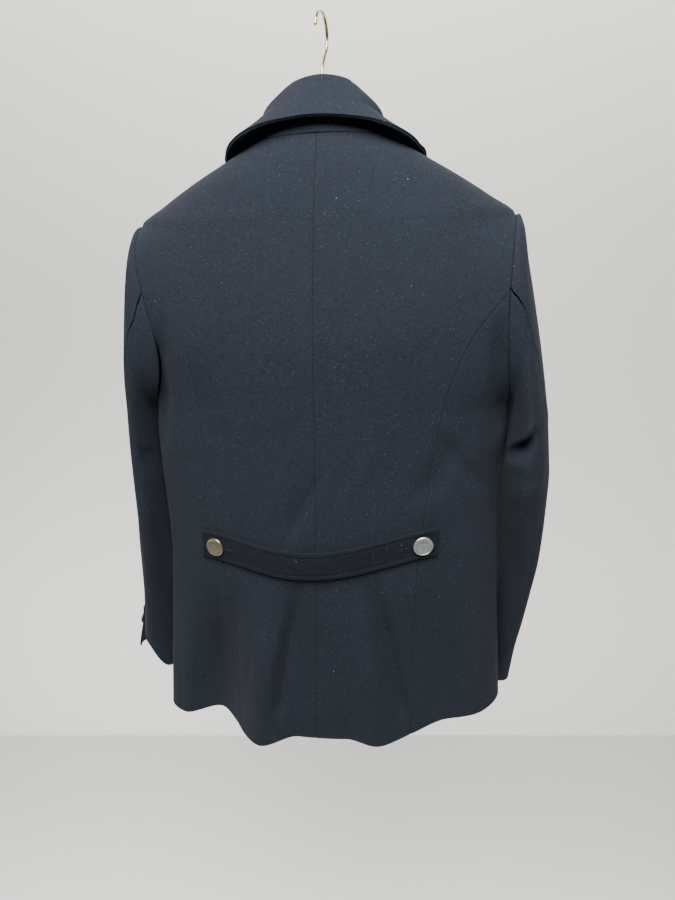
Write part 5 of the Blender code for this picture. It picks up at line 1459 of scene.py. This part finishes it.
class Finish:
    """The nodes of one material, with short ways to add what the finishes need."""

    def __init__(self, tree):
        self.tree = tree
        self.shader = tree.nodes["Principled BSDF"]

    def put(self, node, inputs):
        """Link or set the inputs of a node."""
        for key, value in inputs.items():
            if isinstance(value, bpy.types.NodeSocket):
                self.tree.links.new(value, node.inputs[key])
            else:
                node.inputs[key].default_value = value
        return node

    def add(self, kind, inputs, **settings):
        """A node with its settings and inputs."""
        node = self.tree.nodes.new("ShaderNode" + kind)
        for key, value in settings.items():
            setattr(node, key, value)
        return self.put(node, inputs)

    def place(self, stretch=(1, 1, 1), turn=(0, 0, 0)):
        """Places on the object in metres, stretched and turned."""
        here = self.add("TexCoord", {}).outputs["Object"]
        return self.add("Mapping", {"Vector": here, "Scale": stretch, "Rotation": turn}).outputs["Vector"]

    def noise(self, where, scale, detail=3.0, rough=0.55):
        """Noise value at a place."""
        return self.add("TexNoise", {"Vector": where, "Scale": scale, "Detail": detail,
                                     "Roughness": rough}).outputs["Fac"]

    def ranged(self, value, low, high, to_low=0.0, to_high=1.0):
        """A value brought from one range into another."""
        return self.add("MapRange", {"Value": value, "From Min": low, "From Max": high, "To Min": to_low,
                                     "To Max": to_high}).outputs["Result"]

    def blend(self, factor, one, two):
        """One colour going over into another."""
        node = self.add("Mix", {"Factor": factor}, data_type="RGBA")
        return self.put(node, {MIX_ONE: one, MIX_TWO: two}).outputs[MIX_COLOUR]

    def layers(self, tone, *over):
        """Colours laid over one another, each with how strongly it covers."""
        for factor, colour in over:
            tone = self.blend(factor, tone, colour)
        return tone

    def sum(self, one, two, kind="ADD"):
        """Two values put together; each is a socket or a number."""
        return self.add("Math", {0: one, 1: two}, operation=kind).outputs[0]

    def times(self, one, two):
        """Two values multiplied."""
        return self.sum(one, two, "MULTIPLY")

    def stored(self, name):
        """A value stored on the mesh."""
        return self.add("Attribute", {}, attribute_name=name).outputs["Fac"]

    def relief(self, height, strength, distance):
        """Fine relief in the shading."""
        return self.add("Bump", {"Height": height, "Strength": strength,
                                 "Distance": distance}).outputs["Normal"]

    def specks(self, where, scale, small, large, share):
        """Round specks scattered through space: 0 or how strongly each covers."""
        cells = self.add("TexVoronoi", {"Scale": scale, "Vector": where}, feature="F1")
        pick = self.add("SeparateColor", {"Color": cells.outputs["Color"]})
        size = self.ranged(pick.outputs["Red"], 1.0 - share, 1.0, small * scale, large * scale)
        size = self.times(size, self.sum(pick.outputs["Red"], 1.0 - share, "GREATER_THAN"))
        inside = self.sum(size, cells.outputs["Distance"], "GREATER_THAN")
        return self.times(inside, self.ranged(pick.outputs["Green"], 0.0, 1.0, 0.15, 1.0))


def finish(name, paint, *settings):
    """The material of this name; paint gives its shader's inputs when it is first asked for."""
    made = bpy.data.materials.get(name)
    if not made:
        made = bpy.data.materials.new(name)
        made.use_nodes = True
        nodes = Finish(made.node_tree)
        nodes.put(nodes.shader, paint(nodes, *settings))
    return made


def shaded(colour, amount=1.0):
    """A colour made lighter or darker, with full cover."""
    return tuple(min(1.0, c * amount) for c in tuple(colour)[:3]) + (1.0,)


def melton(lie="along", painted_nap_shade=1.0):
    """Felted navy wool: faint twill under the nap, mottled dye, pale lint, worn edges, painted shade in the
    seams' grooves; a darker copy of the cloth stands as painted shade for a crosswise nap.
    """
    def paint(nodes):
        colours = bpy.context.scene.blazer_colours
        # below 1, the cloth is darkened as painted shade
        cloth, lint = shaded(colours.cloth, painted_nap_shade), shaded(colours.lint)
        here = nodes.place()
        fibre = nodes.noise(here, 1500, 4, 0.7)
        fluff = nodes.noise(nodes.place((0.55, 1, 1)), 520, 3, 0.62)
        cloud = nodes.noise(here, 8, 3, 0.5)
        clump = nodes.noise(nodes.place((0.8, 1, 1)), 300, 4, 0.7)
        slant = nodes.place((1, 1, 1), (0.0, 0.6155, 0.7854))
        twill = nodes.add("TexWave", {"Vector": slant, "Scale": 330, "Distortion": 3.5, "Detail": 2,
                                      "Detail Scale": 2}, wave_type="BANDS", bands_direction="X")
        twill = twill.outputs["Fac"]
        # stored on the mesh: wear on free edges, and painted shade beside seams
        edge = nodes.stored("edge")
        rub = nodes.times(edge, nodes.ranged(fibre, 0.3, 0.7, 0.10, 0.34))
        dyed = nodes.blend(nodes.ranged(cloud, 0.32, 0.68), shaded(cloth, 0.85), shaded(cloth, 1.15))
        tone = nodes.layers(
            dyed,
            (nodes.ranged(clump, 0.34, 0.66, 0.0, 0.8), shaded(cloth, 1.7)),
            (nodes.ranged(fluff, 0.35, 0.75, 0.0, 0.65), shaded(cloth, 2.1)),
            (nodes.ranged(fibre, 0.55, 0.80, 0.0, 0.55), shaded(cloth, 3.2)),
            (nodes.ranged(twill, 0.0, 1.0, 0.0, 0.12), shaded(cloth, 0.5)),
            (nodes.times(nodes.specks(here, 360, 0.00022, 0.00060, 0.55), 0.30), lint),
            (nodes.times(nodes.specks(here, 85, 0.00030, 0.00075, 0.45), 0.85), lint),
            (nodes.specks(nodes.place((1, 1, 0.8)), 22, 0.00045, 0.00075, 0.16), shaded(lint, 1.7)),
            (rub, shaded(cloth, 2.6)),
            # painted shade: the cloth is darkened beside sewn edges, standing for the shade in a seam's
            # groove
            (nodes.ranged(edge, -0.05, -0.9), shaded(cloth, 0.12)))
        pile = nodes.sum(nodes.times(fibre, 0.6), nodes.times(fluff, 0.9))
        pile = nodes.sum(pile, nodes.times(twill, 0.10))
        return {"Base Color": tone, "Roughness": nodes.ranged(fluff, 0.3, 0.7, 0.86, 0.98),
                "Specular IOR Level": 0.10, "Sheen Weight": 0.05, "Sheen Roughness": 0.6,
                "Sheen Tint": (0.60, 0.64, 0.74, 1), "Normal": nodes.relief(pile, 0.6, 0.00045)}
    return finish("navy_melton_" + lie, paint)


def sewing_thread():
    """Twisted navy thread, a little shinier than the cloth."""
    def paint(nodes):
        thread = bpy.context.scene.blazer_colours.thread
        ply = nodes.noise(nodes.place((1, 1, 1), (0.4, 0.8, 0.2)), 2600, 2, 0.5)
        return {"Base Color": nodes.blend(ply, shaded(thread, 0.7), shaded(thread, 1.35)),
                "Roughness": nodes.ranged(ply, 0.3, 0.7, 0.5, 0.68),
                "Normal": nodes.relief(ply, 0.4, 0.00008)}
    return finish("navy_thread", paint)


def painted_slit_shadow():
    """A sheet of painted shadow inside a buttonhole's slit."""
    def paint(nodes):
        painted_shade = shaded(bpy.context.scene.blazer_colours.cloth, 0.25)
        fuzz = nodes.noise(nodes.place(), 1800, 2)
        return {"Base Color": nodes.blend(fuzz, shaded(painted_shade, 0.6), shaded(painted_shade, 1.5)),
                "Roughness": nodes.ranged(fuzz, 0.3, 0.7, 0.9, 1.0)}
    return finish("buttonhole_shadow", paint)


def button_metal(kind):
    """Cast metal: worn bright on the raised parts, darker and duller in the sunk ones."""
    def paint(nodes):
        metal = getattr(bpy.context.scene.blazer_colours, kind)
        here = nodes.place()
        grain, stain = nodes.noise(here, 1500, 3, 0.6), nodes.noise(here, 260, 3, 0.6)
        raised = nodes.ranged(nodes.stored("relief"), 0.0, 0.6)
        dull = nodes.blend(nodes.ranged(stain, 0.35, 0.7), shaded(metal, 0.035), shaded(metal, 0.11))
        return {"Base Color": nodes.blend(raised, dull, shaded(metal)), "Metallic": 1.0,
                "Roughness": nodes.ranged(nodes.times(grain, raised), 0.0, 0.7, 0.46, 0.26),
                "Normal": nodes.relief(grain, 0.35, 0.00006)}
    return finish("button_" + kind, paint)


def hook_brass():
    """Drawn brass wire with faint lengthwise marks and a few dull places."""
    def paint(nodes):
        brass = bpy.context.scene.blazer_colours.hook
        drawn, dull = nodes.noise(nodes.place((1, 1, 0.06)), 1900, 2), nodes.noise(nodes.place(), 120, 3)
        return {"Base Color": nodes.blend(nodes.ranged(dull, 0.4, 0.7), shaded(brass), shaded(brass, 0.66)),
                "Roughness": nodes.ranged(nodes.sum(drawn, dull), 0.7, 1.3, 0.16, 0.36), "Metallic": 1.0,
                "Normal": nodes.relief(drawn, 0.25, 0.00005)}
    return finish("hook_brass", paint)


def hanger_wood():
    """Dark stained beech: long grain, pores and a satin coat."""
    def paint(nodes):
        wood = bpy.context.scene.blazer_colours.wood
        grain = nodes.noise(nodes.place((0.08, 1, 1)), 160, 5, 0.65)
        pores = nodes.noise(nodes.place((0.05, 1, 1)), 900, 2, 0.5)
        tone = nodes.blend(nodes.ranged(grain, 0.35, 0.68), shaded(wood, 0.55), shaded(wood, 1.7))
        tone = nodes.blend(nodes.ranged(pores, 0.60, 0.72, 0.0, 0.7), tone, shaded(wood, 0.35))
        return {"Base Color": tone, "Roughness": nodes.ranged(grain, 0.3, 0.7, 0.34, 0.48),
                "Coat Weight": 0.25, "Coat Roughness": 0.2, "Normal": nodes.relief(pores, 0.3, 0.0002)}
    return finish("stained_beech", paint)


def plain_surface(name, colour, rough, open_behind=False):
    """The stage's plain finish, faintly uneven; a wall can be looked through from behind."""
    def paint(nodes):
        patch = nodes.noise(nodes.place(), 1.6, 3)
        if open_behind:
            behind = nodes.add("NewGeometry", {}).outputs["Backfacing"]
            clear = nodes.add("BsdfTransparent", {}).outputs[0]
            mixed = nodes.add("MixShader", {0: behind, 1: nodes.shader.outputs[0], 2: clear})
            nodes.put(nodes.tree.nodes["Material Output"], {"Surface": mixed.outputs[0]})
        return {"Base Color": nodes.blend(patch, shaded(colour, 0.97), shaded(colour, 1.03)),
                "Roughness": nodes.ranged(patch, 0.3, 0.7, rough, rough + 0.1)}
    return finish(name, paint)


# ---------------------------------------------------------------- stage

FLOOR_REACH, WALL_TOP = 6.0, 3.0
AHEAD, ASIDE = (0.139, -0.990, 0.0), (-0.990, -0.139, 0.0)   # level directions as the camera looks
# Each soft lamp: where it is, what it points at, its size and its colour
LIGHTS = {
    "ceiling_light": ((0.0, 1.0, 0.92), (0.0, -0.05, -0.6), (1.4, 1.1), (1.0, 0.985, 0.96)),
    "wall_light": ((0.15, -0.55, 1.25), (0.15, -1.45, 0.80), (3.4, 0.6), (1.0, 0.99, 0.96)),
    "floor_light": ((0.0, 0.25, -1.25), (0.0, -0.45, -2.15), (2.6, 0.5), (1.0, 0.99, 0.96)),
}
ROOM_COLOUR = (0.93, 0.95, 1.0, 1)


def flat_surface(name, corners, made):
    """One flat four-cornered surface of the stage."""
    mesh = new_mesh(name, corners, [(0, 1, 2, 3)])
    mesh.materials.append(made)
    linked(name, mesh)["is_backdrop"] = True


def soft_light(name, place, toward, size, colour, watts):
    """A large soft lamp."""
    lamp = bpy.data.lights.new(name, "AREA")
    lamp.shape = "RECTANGLE"
    lamp.size, lamp.size_y = size
    lamp.energy, lamp.color = watts, colour
    light = linked(name, lamp)
    light.location = place
    light.rotation_euler = (Vector(toward) - Vector(place)).to_track_quat("-Z", "Y").to_euler()


def make_stage(stage):
    """Pale floor and wall, soft light and the camera at the photograph's angle."""
    ahead, aside, up = np.array(AHEAD), np.array(ASIDE), np.array([0, 0, 1])
    low, reach = stage.floor_height, FLOOR_REACH
    eye = np.array([*CAMERA_AT[:2], 0.0])
    wall = eye + ahead * stage.wall_distance
    around = ((-reach, -reach), (-reach, reach), (reach, reach), (reach, -reach))
    flat_surface("stage_floor", [eye + ahead * a + aside * b + up * low for a, b in around],
                 plain_surface("pale_floor", stage.floor_colour, 0.5))
    around = ((-reach, low), (reach, low), (reach, WALL_TOP), (-reach, WALL_TOP))
    flat_surface("stage_wall", [wall + aside * b + up * h for b, h in around],
                 plain_surface("pale_wall", stage.wall_colour, 0.7, True))
    for name, settings in LIGHTS.items():
        soft_light(name, *settings, getattr(stage, name))
    world = bpy.data.worlds.new("pale_room")
    world.use_nodes = True
    background = world.node_tree.nodes["Background"].inputs
    background["Color"].default_value, background["Strength"].default_value = ROOM_COLOUR, stage.room_glow
    bpy.context.scene.world = world
    lens = bpy.data.cameras.new("photo_view")
    lens.lens, lens.sensor_width, lens.sensor_fit, lens.clip_start = CAMERA_LENS, 36, "AUTO", 0.01
    camera = linked("photo_view", lens)
    camera.location = CAMERA_AT
    pitch = math.radians(CAMERA_PITCH)
    view = Vector(ahead * math.cos(pitch) - up * math.sin(pitch))
    camera.rotation_euler = view.to_track_quat("-Z", "Y").to_euler()
    bpy.context.scene.camera = camera


# ---------------------------------------------------------------- settings, operators and panel

def length(name, what, default):
    """A size property in metres."""
    return FloatProperty(name=name, description=what, default=default, min=0.0, unit="LENGTH", precision=5)


def colour(name, what, default):
    """A colour property."""
    return FloatVectorProperty(name=name, description=what, default=default, min=0.0, max=1.0, size=3,
                               subtype="COLOR")


class BlazerSizes(bpy.types.PropertyGroup):
    """Sizes of the cloth's making that a user would change."""
    stitch_pitch: length("Stitch length", "Step from one stitch of the half belt to the next", 0.0034)
    thread: length("Thread radius", "Radius of the sewing thread", 0.00032)
    button: length("Button", "Diameter of the belt and front buttons", 0.0250)
    cuff_button: length("Cuff button", "Diameter of the cuff buttons", 0.0150)


class BlazerColours(bpy.types.PropertyGroup):
    """Colours of the finishes."""
    cloth: colour("Cloth", "Dyed wool", (0.0130, 0.0166, 0.0238))
    lint: colour("Lint", "Pale specks on the nap", (0.20, 0.22, 0.25))
    thread: colour("Thread", "Sewing thread", (0.010, 0.012, 0.018))
    brass: colour("Brass button", "Left button of the half belt", (0.62, 0.55, 0.42))
    silver: colour("Silver button", "All other buttons", (0.78, 0.80, 0.82))
    hook: colour("Hook", "Brass wire of the hook", (0.80, 0.62, 0.32))
    wood: colour("Wood", "Stained wood of the hanger", (0.050, 0.032, 0.022))


class BlazerStage(bpy.types.PropertyGroup):
    """Floor, wall and light."""
    floor_height: FloatProperty(name="Floor height", description="Height of the floor below the crook",
                                default=-1.86, unit="LENGTH")
    wall_distance: length("Wall distance", "From the camera to the wall behind the blazer", 1.80)
    floor_colour: colour("Floor", "Pale floor", (0.62, 0.62, 0.61))
    wall_colour: colour("Wall", "Pale wall", (0.91, 0.91, 0.88))
    ceiling_light: FloatProperty(name="Ceiling light", description="Power of the soft light above",
                                 default=71.0, min=0.0, unit="POWER")
    wall_light: FloatProperty(name="Wall light", description="Power of the soft light on the wall",
                              default=60.0, min=0.0, unit="POWER")
    floor_light: FloatProperty(name="Floor light", description="Power of the low soft light on the floor",
                               default=27.0, min=0.0, unit="POWER")
    room_glow: FloatProperty(name="Room glow", description="Even light from all round",
                             default=0.10, min=0.0)


def with_faces(piece):
    """Stop where a piece came out empty."""
    if not piece.data.polygons:
        raise RuntimeError(piece.name + " has no faces")


def declare(piece, node):
    """Hide the solid that a cloth piece stands for, and stop if the piece came out empty; the size that it
    was cut to is read but not used.
    """
    width, long, area = CUTS[node]
    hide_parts(node)
    with_faces(piece)


class BlazerBack(bpy.types.Operator):
    """Make both halves of the back and the two side panels"""
    bl_idname = "blazer.back"
    bl_label = "Back and sides"

    def execute(self, context):
        for side in SIGNS:
            declare(make_back(side), "back_" + side)
            declare(make_side(side), "side_" + side)
        return {"FINISHED"}


class BlazerFronts(bpy.types.Operator):
    """Make both fronts, with the buttonholes of the upper one, and their lapels"""
    bl_idname = "blazer.fronts"
    bl_label = "Fronts and lapels"

    def execute(self, context):
        for side in SIGNS:
            front = make_front(side)
            holes = front_buttonholes() if side == "left" else ()
            declare(front, "front_" + side)
            declare(make_lapel(side), "lapel_" + side)
        return {"FINISHED"}


class BlazerCollar(bpy.types.Operator):
    """Make the turned-down collar"""
    bl_idname = "blazer.collar"
    bl_label = "Collar"

    def execute(self, context):
        declare(make_collar(), "collar")
        return {"FINISHED"}


class BlazerSleeves(bpy.types.Operator):
    """Make both two-piece sleeves"""
    bl_idname = "blazer.sleeves"
    bl_label = "Sleeves"

    def execute(self, context):
        for side in SIGNS:
            declare(make_sleeve_upper(side), "sleeve_upper_" + side)
            declare(make_sleeve_under(side), "sleeve_under_" + side)
        return {"FINISHED"}


class BlazerHalfBelt(bpy.types.Operator):
    """Make the half belt with its stitches and its two keyhole buttonholes"""
    bl_idname = "blazer.half_belt"
    bl_label = "Half belt"

    def execute(self, context):
        belt = make_half_belt()
        parts = [belt_stitches(context.scene.blazer_sizes)]
        for side, sign in SIGNS.items():
            at = sign * (BELT_BUTTON_X - HOLE_FROM)
            parts.append(keyhole("belt_buttonhole_" + side, belt_place, at, -sign, BELT_HOLE,
                                 BELT_TALL / 2))
        declare(belt, "half_belt")
        return {"FINISHED"}


class BlazerButtons(bpy.types.Operator):
    """Make the metal buttons and the threads that hold them"""
    bl_idname = "blazer.buttons"
    bl_label = "Buttons"

    def execute(self, context):
        make_buttons(context.scene.blazer_sizes)
        return {"FINISHED"}


class BlazerHanger(bpy.types.Operator):
    """Make the wooden hanger and its wire hook"""
    bl_idname = "blazer.hanger"
    bl_label = "Hanger"

    def execute(self, context):
        for piece, slot, node in ((make_hanger(), "hanger_wood", "hanger_body"),
                                  (make_hook(), "hook_wire", "hanger_hook")):
            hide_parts(node)
            with_faces(piece)
        return {"FINISHED"}


class BlazerStageSetup(bpy.types.Operator):
    """Make the pale floor and wall, the soft light and the camera"""
    bl_idname = "blazer.stage"
    bl_label = "Stage"

    def execute(self, context):
        make_stage(context.scene.blazer_stage)
        return {"FINISHED"}


OPERATORS = (BlazerStageSetup, BlazerBack, BlazerFronts, BlazerCollar, BlazerSleeves, BlazerHalfBelt,
             BlazerButtons, BlazerHanger)


class BlazerPanel(bpy.types.Panel):
    """Sizes, colours and steps of the blazer"""
    bl_idname = "VIEW3D_PT_blazer"
    bl_label = "Short blazer"
    bl_space_type = "VIEW_3D"
    bl_region_type = "UI"
    bl_category = "Blazer"

    def draw(self, context):
        for group in (context.scene.blazer_sizes, context.scene.blazer_colours, context.scene.blazer_stage):
            box = self.layout.box()
            for name in group.__annotations__:
                box.prop(group, name)
        for step in OPERATORS:
            self.layout.operator(step.bl_idname)


CLASSES = (BlazerSizes, BlazerColours, BlazerStage) + OPERATORS + (BlazerPanel,)


def register():
    for one in CLASSES:
        bpy.utils.register_class(one)
    bpy.types.Scene.blazer_sizes = PointerProperty(type=BlazerSizes)
    bpy.types.Scene.blazer_colours = PointerProperty(type=BlazerColours)
    bpy.types.Scene.blazer_stage = PointerProperty(type=BlazerStage)


def unregister():
    del bpy.types.Scene.blazer_stage, bpy.types.Scene.blazer_colours, bpy.types.Scene.blazer_sizes
    for one in reversed(CLASSES):
        bpy.utils.unregister_class(one)


def main():
    register()
    for step in OPERATORS:
        group, name = step.bl_idname.split(".")
        getattr(getattr(bpy.ops, group), name)()
    sizes = {"cad": [list(map(float, c)) for c in CAD_BOX],
             "visual": [list(map(float, c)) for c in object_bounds()]}


if __name__ == "__main__":
    main()
